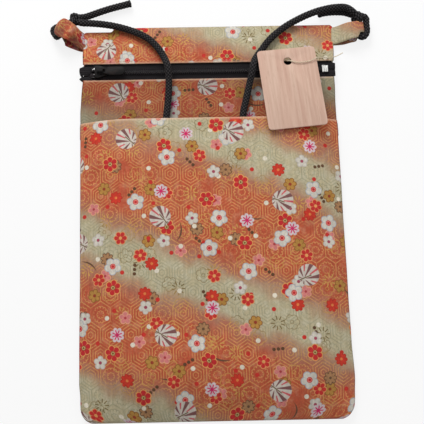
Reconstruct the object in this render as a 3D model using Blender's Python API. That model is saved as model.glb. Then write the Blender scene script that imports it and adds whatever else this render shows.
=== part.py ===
"""A zip-top shoulder pouch of printed cloth, lying on its back with its zip end towards +Y.

Lengths are metres and +Z is up. The origin is on the table, under the middle of the back cloth.
From the table up: back cloth, its lining, the main compartment, the front lining, the front
cloth, and the open-topped pocket that holds the spare shoulder cord as a flat double spiral.
"""

import math

import bmesh
import bpy
from mathutils import Matrix, Vector

# Clearances
clearance = 0.0003
cutter_overrun = 0.0010
weld_depth = 0.0002

# Pouch outline, front view
pouch_width = 0.1590
yoke_depth = 0.0248
zip_window = 0.0103
band_depth = 0.0276
pocket_depth = 0.1783
bottom_corner_radius = 0.0080
top_corner_radius = 0.0030
corner_dip = 0.0026
corner_dip_length = 0.0185
corner_dip_blend = 0.0020

# Cloth and the spaces between its layers
cloth_thickness = 0.0010
lining_thickness = 0.0005
lining_gap = 0.0006
lining_inset = 0.0105
yoke_lining_inset = 0.0130
yoke_lining_depth = 0.0075
compartment_gap = 0.0044
seam_margin = 0.0080
seam_lift = 0.0008
side_ramp = 0.0340
bottom_ramp = 0.0360
zip_blend = 0.0120
hem_depth = 0.0060
hem_thickening = 0.0003
cloth_row = 0.0095
back_row = 0.0190
lining_row = 0.0120
cloth_columns = 16
lining_columns = 14
corner_row_shares = (0.12, 0.45)
smooth_angle = math.radians(40)

# Zip
tape_thickness = 0.0006
tape_hidden = 0.0040
tape_overhang = 0.0014
tape_end_fold = 0.0014
tape_end_length = 0.0022
tape_split_half = 0.0002
coil_height = 0.0012
coil_spine_width = 0.0009
coil_reach = 0.0005
coil_pitch = 0.0020
coil_tooth_width = 0.0007
chain_end_margin = 0.0101

# Slider and pull
slider_from_side = 0.0078
slider_length = 0.0069
slider_plate = 0.0008
slider_lining_gap = 0.0005
slider_flange = 0.0006
post_half_width = 0.0005
post_length = 0.0024
crown_width = 0.0016
crown_bar = 0.0007
crown_inner_half = 0.0013
crown_round = 0.0004
pull_thickness = 0.0009
pull_reach = 0.0155
pull_eye_length = 0.0025
pull_side_bar = 0.0006
pull_half_width = 0.0026
pull_neck = 0.0060

# Stops
top_stop_length = 0.0032
top_stop_reach = 0.0022
top_stop_plate = 0.0006
bottom_stop_length = 0.0036
bottom_stop_half = 0.0021
bottom_stop_height = 0.0014
bottom_stop_groove = 0.0004

# Side tabs, folded strips that hold the cord's ends
tab_cloth = 0.0008
tab_width = 0.0115
left_tab_length = 0.0160
right_tab_length = 0.0178
tab_from_top = 0.0084
tab_sewn = 0.0024
tab_loop_from = 0.0085
tab_table_gap = 0.0004
left_tab_turn = math.radians(29)
left_tab_end_turn = math.radians(24)
right_tab_turn = math.radians(15)
right_tab_end_turn = math.radians(2)

# Shoulder cord
cord_diameter = 0.0040
cord_step = 0.0085
tail_step = 0.0060
ring_step = 0.0022
ring_climb = 0.0010
knot_radius = 0.0038
knot_gap = 0.0006
left_knot_from_tab = 0.0012
right_knot_from_tab = 0.0006
knot_ridge_share = 0.10
knot_wraps = 2
left_knot_share = 0.62
right_knot_share = 0.74
ring_tuck_share = 0.125
ring_rise_share = 0.70
pocket_slack = 0.0002
spiral_radius = 0.0415
spiral_pitch = 0.0108
spiral_core = 0.0160
spiral_centre_x = -0.0030
spiral_below_mouth = 0.0995
spiral_points_a_turn = 24

# Hang tag and its thread
tag_width = 0.0360
tag_length = 0.0520
tag_thickness = 0.0008
tag_corner = 0.0022
tag_hole_radius = 0.0025
tag_hole_from_top = 0.0085
tag_above_cloth = 0.0061
tag_turn = math.radians(5.9)
tag_fall_to_top = math.radians(5.7)
tag_fall_to_side = math.radians(2.9)
tag_from_side = 0.0331
tag_below_top = 0.0190
thread_diameter = 0.0008
thread_step = 0.0045
thread_across_shares = (0.35, 0.75)
thread_down_shares = (2.4, 2.0)
thread_out_shares = (1.0, 4.0)
thread_rise_shares = (2.0, 4.2, 6.0)

# Places that follow from the sizes above
pouch_length = yoke_depth + zip_window + band_depth + pocket_depth
top_y = pouch_length / 2
bottom_y = -top_y
window_top_y = top_y - yoke_depth
window_low_y = window_top_y - zip_window
zip_y = (window_top_y + window_low_y) / 2
mouth_y = window_low_y - band_depth
side_x = pouch_width / 2
tape_half = zip_window / 2 + tape_hidden
lining_top = cloth_thickness + clearance + lining_thickness
slider_low = lining_top + slider_lining_gap
tape_low = slider_low + slider_plate + clearance
tape_top = tape_low + tape_thickness
coil_low = tape_top + clearance
coil_top = coil_low + coil_height
plate_low = coil_top + clearance
plate_top = plate_low + slider_plate
seam_front_low = seam_lift + cloth_thickness + clearance
zip_rise = tape_top + clearance - seam_front_low
main_rise = lining_top + compartment_gap + lining_thickness + lining_gap - seam_front_low
zip_end_lift = tape_low - clearance - cloth_thickness - seam_lift
pocket_rise = cord_diameter + clearance + pocket_slack
front_top = seam_front_low + main_rise + cloth_thickness
cord_in_pocket_z = front_top + clearance + cord_diameter / 2
chain_half = coil_spine_width + coil_reach + clearance
slider_x = -side_x + slider_from_side
post_tail_x = slider_x + post_length
parting = post_half_width + clearance + coil_reach
crown_x = slider_x + slider_length / 2
pull_axis_z = plate_top + clearance + pull_thickness / 2
crown_inner_top = pull_axis_z + pull_thickness / 2 + clearance
chain_end_x = side_x - chain_end_margin
tab_loop_radius = cord_diameter / 2 + clearance + tab_cloth
right_tab_end_z = tab_loop_radius + tab_table_gap
ring_under_z = cord_diameter / 2 + tab_table_gap
left_tab_end_z = ring_under_z + cord_diameter / 2 + clearance + tab_loop_radius
tab_base_z = seam_front_low - clearance / 2
spiral_centre_y = mouth_y - spiral_below_mouth
tag_axis_x = side_x - tag_from_side

# Colours, as (red, green, blue), and roughness and metallic values
print_orange = ((0.46, 0.18, 0.10), 0.75, 0.0)
lining_cream = ((0.55, 0.42, 0.30), 0.80, 0.0)
tape_black = ((0.014, 0.012, 0.013), 0.80, 0.0)
coil_black = ((0.012, 0.011, 0.012), 0.40, 0.0)
metal_black = ((0.016, 0.015, 0.016), 0.35, 0.6)
stop_silver = ((0.80, 0.80, 0.78), 0.30, 1.0)
cord_black = ((0.020, 0.014, 0.013), 0.70, 0.0)
tag_wood = ((0.54, 0.37, 0.28), 0.65, 0.0)
thread_cream = ((0.78, 0.70, 0.58), 0.80, 0.0)


def clear_scene():
    for old in list(bpy.data.objects):
        bpy.data.objects.remove(old, do_unlink=True)


def material(name, look):
    colour, roughness, metallic = look
    made = bpy.data.materials.new(name)
    made.use_nodes = True
    shader = made.node_tree.nodes["Principled BSDF"]
    shader.inputs["Base Color"].default_value = (*colour, 1.0)
    shader.inputs["Roughness"].default_value = roughness
    shader.inputs["Metallic"].default_value = metallic
    made.diffuse_color = (*colour, 1.0)
    return made


def placed(name, data, look, parent=None):
    made = bpy.data.objects.new(name, data)
    data.materials.append(material(name, look))
    bpy.context.collection.objects.link(made)
    made.parent = parent
    return made


def empty_at(name, place, turn=None):
    made = bpy.data.objects.new(name, None)
    made.location = place
    if turn is not None:
        made.rotation_euler = turn.to_euler()
    bpy.context.collection.objects.link(made)
    return made


def clamp01(value):
    return min(1.0, max(0.0, value))


def ease(value):
    t = clamp01(value)
    return t * t * (3.0 - 2.0 * t)


def pillow(value):
    return math.sin(clamp01(value) * math.pi / 2)


def spread(low, high, count):
    return [low + (high - low) * k / count for k in range(count + 1)]


# Cloth surfaces


def half_width(y):
    """Half of the pouch's width at y, drawn in round the corners."""
    low = min(y - bottom_y, bottom_corner_radius)
    high = min(top_y - y, top_corner_radius)
    inset = bottom_corner_radius - math.sqrt(
        max(0.0, bottom_corner_radius**2 - (bottom_corner_radius - low) ** 2)
    )
    inset += top_corner_radius - math.sqrt(
        max(0.0, top_corner_radius**2 - (top_corner_radius - high) ** 2)
    )
    return side_x - inset


def near_zip(y):
    """1 across the zip's tapes, falling to 0 on both sides of them."""
    return 1.0 - ease((abs(y - zip_y) - tape_half) / zip_blend)


def lift(y):
    """How far the front cloth stands above its seam level along the pouch's middle."""
    if y > zip_y + tape_half:
        return zip_rise * pillow((top_y - y) / (top_y - zip_y - tape_half))
    below = ease((zip_y - tape_half - y) / (zip_y - tape_half - mouth_y))
    return (zip_rise + (main_rise - zip_rise) * below) * pillow((y - bottom_y) / bottom_ramp)


def front_low(x, y):
    """Underside of the front cloth and of the yoke."""
    side = pillow((half_width(y) - abs(x)) / side_ramp)
    return seam_front_low + lift(y) * (side + (1.0 - side) * near_zip(y))


def back_low(x, y):
    """Underside of the back cloth: flat on the table, turned up along the seams."""
    from_side = ease((half_width(y) - abs(x)) / seam_margin)
    from_ends = ease((top_y - y) / seam_margin) * ease((y - bottom_y) / seam_margin)
    return seam_lift * (1.0 - from_side * from_ends) + zip_end_lift * (1.0 - from_side) * near_zip(y)


def pocket_low(x, y):
    """Underside of the pocket cloth, which bulges over the cord inside."""
    bulge = pillow((half_width(y) - abs(x)) / side_ramp) * pillow((y - bottom_y) / bottom_ramp)
    return front_low(x, y) + cloth_thickness + clearance + pocket_rise * bulge


def pocket_top(x, y):
    hem = 1.0 - ease((mouth_y - y) / hem_depth)
    return pocket_low(x, y) + cloth_thickness + hem_thickening * hem


def top_corner_step(x, y):
    """The top edge lies lower near its left corner, as the pouch's top seam does."""
    along = 1.0 - ease((x + side_x - corner_dip_length) / corner_dip_blend)
    return corner_dip * along * ease((y - window_top_y) / yoke_depth)


def sheet_mesh(name, columns, rows, place, low, top):
    """A closed sheet on a grid: place(column, row) is a point, low and top its two heights."""
    bm = bmesh.new()
    grids = []
    for height in (low, top):
        grid = []
        for row in rows:
            line = []
            for column in columns:
                x, y = place(column, row)
                line.append(bm.verts.new((x, y, height(x, y))))
            grid.append(line)
        grids.append(grid)
    under, over = grids
    last_row = len(rows) - 1
    last_column = len(columns) - 1
    for j in range(last_row):
        for i in range(last_column):
            bm.faces.new((over[j][i], over[j][i + 1], over[j + 1][i + 1], over[j + 1][i]))
            bm.faces.new((under[j][i], under[j + 1][i], under[j + 1][i + 1], under[j][i + 1]))
    for i in range(last_column):
        bm.faces.new((under[0][i], under[0][i + 1], over[0][i + 1], over[0][i]))
        bm.faces.new((under[last_row][i + 1], under[last_row][i], over[last_row][i], over[last_row][i + 1]))
    for j in range(last_row):
        bm.faces.new((under[j + 1][0], under[j][0], over[j][0], over[j + 1][0]))
        bm.faces.new(
            (under[j][last_column], under[j + 1][last_column], over[j + 1][last_column], over[j][last_column])
        )
    mesh = bpy.data.meshes.new(name)
    bm.to_mesh(mesh)
    bm.free()
    mesh.shade_smooth()
    mesh.set_sharp_from_angle(angle=smooth_angle)
    return mesh


def cloth_rows(low, high, step):
    """Rows from low to high, with extra ones where the corners are round."""
    rows = spread(low, high, max(2, round((high - low) / step)))
    if low == bottom_y:
        rows += [bottom_y + bottom_corner_radius * share for share in corner_row_shares]
    if high == top_y:
        rows += [top_y - top_corner_radius * share for share in corner_row_shares]
    rows += [y for y in (zip_y - tape_half, zip_y + tape_half) if low < y < high]
    rows += [y for y in (bottom_y + seam_margin, top_y - seam_margin) if low < y < high]
    return sorted(rows)


def edge_dense(count):
    """Shares of the half width from -1 to 1, closer together near the sides."""
    return [math.sin(math.pi / 2 * value) for value in spread(-1.0, 1.0, count)]


def cloth(name, low_y, high_y, low, top, look, step=cloth_row):
    def place(share, y):
        x = share * half_width(y)
        return x, y - top_corner_step(x, y)

    rows = cloth_rows(low_y, high_y, step)
    mesh = sheet_mesh(name, edge_dense(cloth_columns), rows, place, low, top)
    return placed(name, mesh, look)


def lining(name, low_y, high_y, inset, low, columns=lining_columns, step=lining_row):
    def place(share, y):
        return share * (side_x - inset), y

    def top(x, y):
        return low(x, y) + lining_thickness

    rows = spread(low_y, high_y, max(2, round((high_y - low_y) / step)))
    mesh = sheet_mesh(name, edge_dense(columns), rows, place, low, top)
    return placed(name, mesh, lining_cream)


def make_cloth():
    def back_top(x, y):
        return back_low(x, y) + cloth_thickness

    def over_front(x, y):
        return front_low(x, y) + cloth_thickness

    def on_back(x, y):
        return back_top(x, y) + clearance

    def under_front(x, y):
        return front_low(x, y) - lining_gap - lining_thickness

    cloth("back_panel", bottom_y, top_y, back_low, back_top, print_orange, step=back_row)
    cloth("front_panel", bottom_y, window_low_y, front_low, over_front, print_orange)
    cloth("top_yoke", window_top_y, top_y, front_low, over_front, print_orange)
    cloth("pocket_panel", bottom_y, mouth_y, pocket_low, pocket_top, print_orange)
    tape_edge = tape_half + clearance
    flat_step = pocket_depth / 2
    lining("back_lining", bottom_y + lining_inset, top_y - lining_inset, lining_inset, on_back, 2, flat_step)
    lining("front_lining", bottom_y + lining_inset, zip_y - tape_edge, lining_inset, under_front)
    yoke_lining_low = zip_y + tape_edge
    lining("yoke_lining", yoke_lining_low, yoke_lining_low + yoke_lining_depth, yoke_lining_inset, under_front)


# Zip


def parted(x):
    """How far each half of the zip is pushed aside by the slider's post."""
    return parting * (1.0 - ease((x - post_tail_x) / (slider_length - post_length)))


def zip_tape(name, side):
    end_x = side_x + tape_overhang
    fold_x = end_x - tape_end_length
    columns = [-end_x, -fold_x, -fold_x + clearance]
    columns += spread(slider_x, slider_x + slider_length, 6)
    columns += spread(slider_x + slider_length, fold_x, 6)[1:]
    columns += [fold_x + clearance, end_x]
    edge_y = zip_window / 2 - clearance
    rows = [tape_split_half, None, edge_y, edge_y + clearance, tape_half]

    def place(x, row):
        inner = tape_split_half + parted(x)
        if row is None:
            out = (inner + edge_y) / 2
        else:
            out = max(row, inner)
        return x, zip_y + side * out

    def top(x, y):
        folded = abs(x) > fold_x + clearance / 2 and abs(y - zip_y) < edge_y + clearance / 2
        return tape_top + (tape_end_fold if folded else 0.0)

    def low(x, y):
        return tape_low

    if side < 0:
        rows = rows[::-1]
    mesh = sheet_mesh(name, columns, rows, place, low, top)
    placed(name, mesh, tape_black)


def prism(outline, low, high, along="Z"):
    """A closed prism: an outline of pairs, wound anticlockwise, pushed along one axis."""
    turn = {
        "Z": lambda a, b, h: (a, b, h),
        "Y": lambda a, b, h: (a, -h, b),
        "X": lambda a, b, h: (h, a, b),
    }[along]
    bm = bmesh.new()
    base = [bm.verts.new(turn(a, b, low)) for a, b in outline]
    cap = [bm.verts.new(turn(a, b, high)) for a, b in outline]
    bm.faces.new(base[::-1])
    bm.faces.new(cap)
    count = len(outline)
    for k in range(count):
        bm.faces.new((base[k], base[(k + 1) % count], cap[(k + 1) % count], cap[k]))
    bmesh.ops.recalc_face_normals(bm, faces=bm.faces)
    return bm


def mesh_of(name, bm):
    bmesh.ops.triangulate(bm, faces=[face for face in bm.faces if len(face.verts) > 4])
    mesh = bpy.data.meshes.new(name)
    bm.to_mesh(mesh)
    bm.free()
    return mesh


def joined(name, pieces, look, parent=None):
    """One body from several: each further bmesh is united with the first."""
    body = placed(name, mesh_of(name, pieces[0]), look, parent)
    for number, piece in enumerate(pieces[1:]):
        helper_name = f"{name}_piece_{number}"
        helper = placed(helper_name, mesh_of(helper_name, piece), look, parent)
        helper.hide_render = True
        helper.display_type = "WIRE"
        union = body.modifiers.new(f"join_{number}", "BOOLEAN")
        union.operation = "UNION"
        union.solver = "EXACT"
        union.object = helper
    return body


def zip_coil(name, side):
    """One row of the chain: a spine on the tape's edge, with teeth that reach past the middle."""
    first_x = post_tail_x - post_length
    count = int((chain_end_x - first_x) / coil_pitch)
    spine_low = coil_reach + clearance
    spine_high = spine_low + coil_spine_width
    shift = 0.0 if side > 0 else coil_pitch / 2
    outline = []
    for k in range(count):
        start = first_x + shift + k * coil_pitch
        for x, reach in (
            (start, spine_low),
            (start, -coil_reach),
            (start + coil_tooth_width, -coil_reach),
            (start + coil_tooth_width, spine_low),
        ):
            outline.append((x, reach + parted(x)))
    last_x = chain_end_x - clearance
    outline.append((last_x, spine_low))
    outline.append((last_x, spine_high))
    for x in reversed(spread(first_x, slider_x + slider_length, 6)):
        outline.append((x, spine_high + parted(x)))
    if shift:
        outline.append((first_x, spine_low + parted(first_x)))
    placed_outline = [(x, zip_y + side * y) for x, y in outline]
    if side < 0:
        placed_outline = placed_outline[::-1]
    placed(name, mesh_of(name, prism(placed_outline, coil_low, coil_top)), coil_black)


def slider_outline(extra, start, end):
    """Plan of the slider's plates: the chain's width, parted in front, plus extra each side."""
    stations = spread(start, end, 5)
    upper = [(x, zip_y + chain_half + clearance + parted(x) + extra) for x in stations]
    lower = [(x, zip_y - chain_half - clearance - parted(x) - extra) for x in stations]
    return lower + upper[::-1]


def flange_outline(side):
    stations = spread(slider_x, slider_x + slider_length, 5)
    inner = [(x, zip_y + side * (chain_half + clearance + parted(x))) for x in stations]
    outer = [(x, zip_y + side * (chain_half + clearance + parted(x) + slider_flange)) for x in stations]
    return inner + outer[::-1]


def crown_outline():
    """The slider's arch from the side, with its two legs on the top plate."""
    outer = crown_inner_half + crown_bar
    low = plate_top - weld_depth
    high = crown_inner_top + crown_bar
    return [
        (crown_x - outer, low),
        (crown_x - crown_inner_half, low),
        (crown_x - crown_inner_half, crown_inner_top),
        (crown_x + crown_inner_half, crown_inner_top),
        (crown_x + crown_inner_half, low),
        (crown_x + outer, low),
        (crown_x + outer, high - crown_round),
        (crown_x + outer - crown_round, high),
        (crown_x - outer + crown_round, high),
        (crown_x - outer, high - crown_round),
    ]


def make_slider():
    end_x = slider_x + slider_length
    post = [
        (slider_x, zip_y - post_half_width),
        (slider_x + post_length / 2, zip_y - post_half_width),
        (slider_x + post_length, zip_y),
        (slider_x + post_length / 2, zip_y + post_half_width),
        (slider_x, zip_y + post_half_width),
    ]
    pieces = [
        prism(slider_outline(slider_flange, slider_x, end_x), plate_low, plate_top),
        prism(flange_outline(1), coil_low, plate_low + weld_depth),
        prism(flange_outline(-1), coil_low, plate_low + weld_depth),
        prism(post, slider_low + weld_depth, plate_low + weld_depth),
        prism(slider_outline(0.0, slider_x, end_x - slider_flange), slider_low, slider_low + slider_plate),
        prism(crown_outline(), -zip_y - crown_width / 2, -zip_y + crown_width / 2, along="Y"),
    ]
    joined("zip_slider", pieces, metal_black)


def make_pull():
    """The pull hangs by its cross bar in the slider's crown and lies back over the chain."""
    axis = empty_at("zip_pull_axis", (crown_x, zip_y, pull_axis_z))
    bar = pull_thickness / 2
    eye_half = crown_width / 2 + clearance
    neck_half = eye_half + pull_side_bar
    round_x = pull_reach - pull_half_width
    shoulder_x = bar + pull_eye_length
    outline = [(-bar, -neck_half), (shoulder_x, -neck_half), (pull_neck, -pull_half_width)]
    for angle in spread(-math.pi / 2, math.pi / 2, 8):
        outline.append((round_x + pull_half_width * math.cos(angle), pull_half_width * math.sin(angle)))
    outline += [(pull_neck, pull_half_width), (shoulder_x, neck_half), (-bar, neck_half)]
    pull = placed("zip_pull", mesh_of("zip_pull", prism(outline, -bar, bar)), metal_black, axis)
    eye = [(bar, -eye_half), (shoulder_x, -eye_half), (shoulder_x, eye_half), (bar, eye_half)]
    eye_prism = prism(eye, -bar - cutter_overrun, bar + cutter_overrun)
    cutter = placed("pull_eye_cutter", mesh_of("pull_eye_cutter", eye_prism), metal_black, axis)
    cutter.hide_render = True
    cutter.display_type = "WIRE"
    cut = pull.modifiers.new("eye", "BOOLEAN")
    cut.operation = "DIFFERENCE"
    cut.solver = "EXACT"
    cut.object = cutter


def top_stop(name, side):
    """A clip bent round the inner edge of one tape, just in front of the closed slider."""
    end_x = slider_x - clearance
    inner = tape_split_half + parting - clearance
    web = inner - top_stop_plate
    far = inner + top_stop_reach
    high = coil_low + top_stop_plate
    low = tape_low - clearance
    section = [
        (web, low - top_stop_plate),
        (far, low - top_stop_plate),
        (far, low),
        (inner, low),
        (inner, coil_low),
        (far, coil_low),
        (far, high),
        (web, high),
    ]
    section = [(zip_y + side * y, z) for y, z in section]
    body = prism(section, end_x - top_stop_length, end_x, along="X")
    placed(name, mesh_of(name, body), stop_silver)


def make_bottom_stop():
    """A clamp across both halves at the chain's end, with two grooves that leave three bands."""
    start = chain_end_x
    band = bottom_stop_length / 5
    high = coil_low + bottom_stop_height
    section = [(start, coil_low), (start + bottom_stop_length, coil_low)]
    for k in (5, 3, 1):
        section.append((start + k * band, high))
        section.append((start + (k - 1) * band, high))
        if k > 1:
            section.append((start + (k - 1) * band, high - bottom_stop_groove))
            section.append((start + (k - 2) * band, high - bottom_stop_groove))
    body = prism(section, -zip_y - bottom_stop_half, -zip_y + bottom_stop_half, along="Y")
    placed("zip_bottom_stop", mesh_of("zip_bottom_stop", body), stop_silver)


def make_zip():
    zip_tape("zip_tape_upper", 1)
    zip_tape("zip_tape_lower", -1)
    zip_coil("zip_coil_upper", 1)
    zip_coil("zip_coil_lower", -1)
    top_stop("zip_top_stop_upper", 1)
    top_stop("zip_top_stop_lower", -1)
    make_bottom_stop()
    make_slider()
    make_pull()


# Side tabs


def tab_reach(side):
    return left_tab_length if side < 0 else right_tab_length


def tab_end_z(side):
    """Height of a tab's end: the right one is near the table, the left one lies on the cord that runs under it."""
    return left_tab_end_z if side < 0 else right_tab_end_z


def tab_frame(side):
    """Base point, direction along the tab, and its width's direction at the base and the end."""
    turn = left_tab_turn if side < 0 else right_tab_turn
    end_turn = left_tab_end_turn if side < 0 else right_tab_end_turn
    base = Vector((side * (side_x + clearance), top_y - tab_from_top))
    along = Vector((side * math.cos(turn), math.sin(turn)))
    return base, along, Vector((0.0, 1.0)), Vector((-side * math.sin(end_turn), math.cos(end_turn)))


def tab_point(side, u, w, z):
    """A point u along the tab, w across it and z above the tab's own middle."""
    base, along, width_base, width_end = tab_frame(side)
    share = u / tab_reach(side)
    across = width_base.lerp(width_end, share)
    flat = base + along * u + across * w
    rise = ease(u / tab_loop_from)
    return Vector((flat.x, flat.y, tab_base_z + (tab_end_z(side) - tab_base_z) * rise + z))


def tab_profile(side, radius, start_u, start_half):
    """Half of a drop-shaped loop, from its pinched start round its end, as (u, z) pairs."""
    centre = tab_reach(side) - tab_loop_radius
    points = [(start_u, start_half)]
    for u in spread(start_u, tab_loop_from, 3)[1:]:
        share = (u - start_u) / (tab_loop_from - start_u)
        points.append((u, start_half + (radius - start_half) * ease(share)))
    for angle in spread(math.pi / 2, 0.0, 4):
        points.append((centre + radius * math.cos(angle), radius * math.sin(angle)))
    return points + [(u, -z) for u, z in reversed(points[:-1])]


def make_tab(name, side):
    """A strip of the print, folded round the cord and sewn into the side seam."""
    outer = tab_profile(side, tab_loop_radius, 0.0, tab_cloth + clearance / 2)
    inner = tab_profile(side, tab_loop_radius - tab_cloth, tab_sewn, clearance / 2)
    bm = bmesh.new()
    rings = []
    for w in spread(-tab_width / 2, tab_width / 2, 3):
        rings.append([[bm.verts.new(tab_point(side, u, w, z)) for u, z in loop] for loop in (outer, inner)])
    count = len(outer)
    for first, second in zip(rings, rings[1:]):
        for loop in (0, 1):
            for k in range(count):
                m = (k + 1) % count
                bm.faces.new((first[loop][k], first[loop][m], second[loop][m], second[loop][k]))
    for ring in (rings[0], rings[-1]):
        for k in range(count):
            m = (k + 1) % count
            bm.faces.new((ring[0][k], ring[0][m], ring[1][m], ring[1][k]))
    bmesh.ops.recalc_face_normals(bm, faces=bm.faces)
    mesh = bpy.data.meshes.new(name)
    bm.to_mesh(mesh)
    bm.free()
    mesh.shade_smooth()
    mesh.set_sharp_from_angle(angle=smooth_angle)
    placed(name, mesh, print_orange)


# Shoulder cord


def smooth_route(points, step):
    """Evenly spaced points on a Catmull-Rom curve through the given ones."""
    vectors = [Vector(p) for p in points]
    padded = [vectors[0] * 2 - vectors[1]] + vectors + [vectors[-1] * 2 - vectors[-2]]
    fine = []
    for k in range(1, len(padded) - 2):
        before, start, end, after = padded[k - 1 : k + 3]
        for t in spread(0.0, 1.0, 20)[:-1]:
            fine.append(
                start
                + (end - before) * (t / 2)
                + (before * 2 - start * 5 + end * 4 - after) * (t * t / 2)
                + (start * 3 - before - end * 3 + after) * (t * t * t / 2)
            )
    fine.append(vectors[-1])
    return evenly(fine, step)


def evenly(fine, step):
    """The same line with points about one step apart."""
    along = [0.0]
    for first, second in zip(fine, fine[1:]):
        along.append(along[-1] + (second - first).length)
    count = max(2, round(along[-1] / step))
    picked = []
    k = 0
    for target in spread(0.0, along[-1], count):
        while k < len(fine) - 2 and along[k + 1] < target:
            k += 1
        share = (target - along[k]) / (along[k + 1] - along[k])
        picked.append(fine[k].lerp(fine[k + 1], clamp01(share)))
    return picked


def tube(name, points, diameter, look, resolution=2):
    curve = bpy.data.curves.new(name, "CURVE")
    curve.dimensions = "3D"
    curve.bevel_depth = diameter / 2
    curve.bevel_resolution = resolution
    curve.use_fill_caps = True
    spline = curve.splines.new("POLY")
    spline.points.add(len(points) - 1)
    for spot, point in zip(spline.points, points):
        spot.co = (*point, 1.0)
    return placed(name, curve, look)


def knot_place(side):
    """A knot lies beside the tab's upper edge, a clearance away from it and from the table."""
    share = left_knot_share if side < 0 else right_knot_share
    from_tab = left_knot_from_tab if side < 0 else right_knot_from_tab
    centre = tab_point(side, tab_reach(side) * share, tab_width / 2 + knot_radius + from_tab, 0.0)
    return Vector((centre.x, centre.y, knot_radius + tab_table_gap))


def make_knot(name, side):
    """A pulled-tight overhand knot: a ball with the ridges of its wraps running aslant."""
    bm = bmesh.new()
    bmesh.ops.create_uvsphere(bm, u_segments=16, v_segments=10, radius=knot_radius)
    for vert in bm.verts:
        flat = math.hypot(vert.co.x, vert.co.y)
        slant = knot_wraps * (math.atan2(vert.co.y, vert.co.x) + side * vert.co.z / knot_radius)
        dip = knot_ridge_share * (1.0 - math.cos(slant)) / 2 * flat / knot_radius
        vert.co *= 1.0 - dip
    centre = knot_place(side)
    bmesh.ops.translate(bm, verts=bm.verts, vec=centre)
    mesh = bpy.data.meshes.new(name)
    bm.to_mesh(mesh)
    bm.free()
    mesh.shade_smooth()
    placed(name, mesh, cord_black)


def leaving(side, direction):
    """Where a cord whose way is given meets the knot, and a point one diameter further on."""
    way = Vector(direction).normalized()
    centre = knot_place(side)
    start = centre + way * (knot_radius + knot_gap)
    return [start, start + way * cord_diameter]


def back_under_tab(level, inside_u, edge):
    """Out of the loop's lower side, down in a half turn, and back under the tab."""
    turn_radius = (left_tab_end_z - ring_under_z) / 2
    points = []
    for angle in spread(math.pi / 2, -math.pi / 2, 4):
        out = edge + clearance + turn_radius * math.cos(angle)
        points.append(level(inside_u, -out, ring_under_z + turn_radius * (1.0 + math.sin(angle))))
    return points + [level(inside_u, 0.0, ring_under_z), level(inside_u, edge, ring_under_z)]


def back_round_end(level, inside_u, edge):
    """Out of the loop's lower side and back round the tab's end."""
    outside_u = right_tab_length + cord_diameter / 2 + 2 * clearance
    turn_u = (inside_u + outside_u) / 2
    turn_radius = (outside_u - inside_u) / 2
    points = []
    for angle in spread(math.pi, math.tau, 4):
        out = edge + clearance - turn_radius * math.sin(angle)
        points.append(level(turn_u + turn_radius * math.cos(angle), -out, right_tab_end_z))
    last = (outside_u - cord_diameter * ring_tuck_share, edge + cord_diameter * ring_rise_share)
    return points + [level(u, w, right_tab_end_z) for u, w in ((outside_u, 0.0), (outside_u, edge), last)]


def make_ring(name, side):
    """The cord from the knot through the tab's loop and back to the knot."""
    inside_u = tab_reach(side) - tab_loop_radius
    edge = tab_width / 2
    centre = knot_place(side)

    def level(u, w, z):
        spot = tab_point(side, u, w, 0.0)
        return Vector((spot.x, spot.y, z))

    def on_knot(towards):
        return centre + (towards - centre).normalized() * (knot_radius + knot_gap)

    share = left_knot_share if side < 0 else right_knot_share
    leave_u = min(tab_reach(side) * share, inside_u)
    mean_u = (leave_u + inside_u) / 2
    route = ((leave_u, edge), ((leave_u + mean_u) / 2, edge / 2), (mean_u, 0.0))
    way_in = [level(u, w, tab_end_z(side)) for u, w in route]
    if side < 0:
        way_in.insert(0, way_in[0] + Vector((0.0, 0.0, ring_climb)))
    way_back = back_under_tab if side < 0 else back_round_end
    points = [on_knot(way_in[0])] + way_in[1:] + way_back(level, inside_u, edge)
    tube(name, smooth_route(points + [on_knot(points[-1])], ring_step), cord_diameter, cord_black)


# Routes of the cord's free stretches, from knot to pocket, and their ways out of the knots
left_strand_route = [
    (-0.0660, 0.1222, 0.0066),
    (-0.0560, 0.1201, 0.0060),
    (-0.0445, 0.1159, 0.0074),
    (-0.0350, 0.1078, 0.0080),
    (-0.0290, 0.0990, 0.0092),
    (-0.0267, 0.0930, 0.0118),
    (-0.0258, 0.0880, 0.0118),
    (-0.0256, 0.0810, 0.0104),
    (-0.0262, 0.0700, 0.0103),
    (-0.0272, 0.0610, 0.0106),
    (-0.0285, 0.0500, 0.0106),
    (-0.0335, 0.0250, 0.0106),
    (-0.0410, 0.0000, 0.0106),
]
right_strand_route = [
    (0.0835, 0.1296, 0.0076),
    (0.0750, 0.1290, 0.0070),
    (0.0655, 0.1270, 0.0068),
    (0.0560, 0.1230, 0.0064),
    (0.0464, 0.1172, 0.0070),
    (0.0380, 0.1100, 0.0077),
    (0.0321, 0.1028, 0.0074),
    (0.0281, 0.0965, 0.0096),
    (0.0263, 0.0915, 0.0124),
    (0.0252, 0.0860, 0.0121),
    (0.0238, 0.0800, 0.0106),
    (0.0214, 0.0700, 0.0103),
    (0.0192, 0.0600, 0.0106),
    (0.0180, 0.0450, 0.0106),
    (0.0175, 0.0250, 0.0106),
]
left_strand_way = (0.80, -0.30, 0.52)
right_strand_way = (-0.80, 0.30, 0.52)
left_tail_way = (0.86, 0.48, -0.17)
right_tail_way = (-0.86, -0.42, -0.20)
left_tail_route = [
    (-0.0725, 0.1326, 0.0026),
    (-0.0600, 0.1345, 0.0023),
    (-0.0490, 0.1368, 0.0022),
]
right_tail_route = [
    (0.0800, 0.1264, 0.0023),
    (0.0730, 0.1250, 0.0022),
    (0.0650, 0.1234, 0.0022),
]


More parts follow.
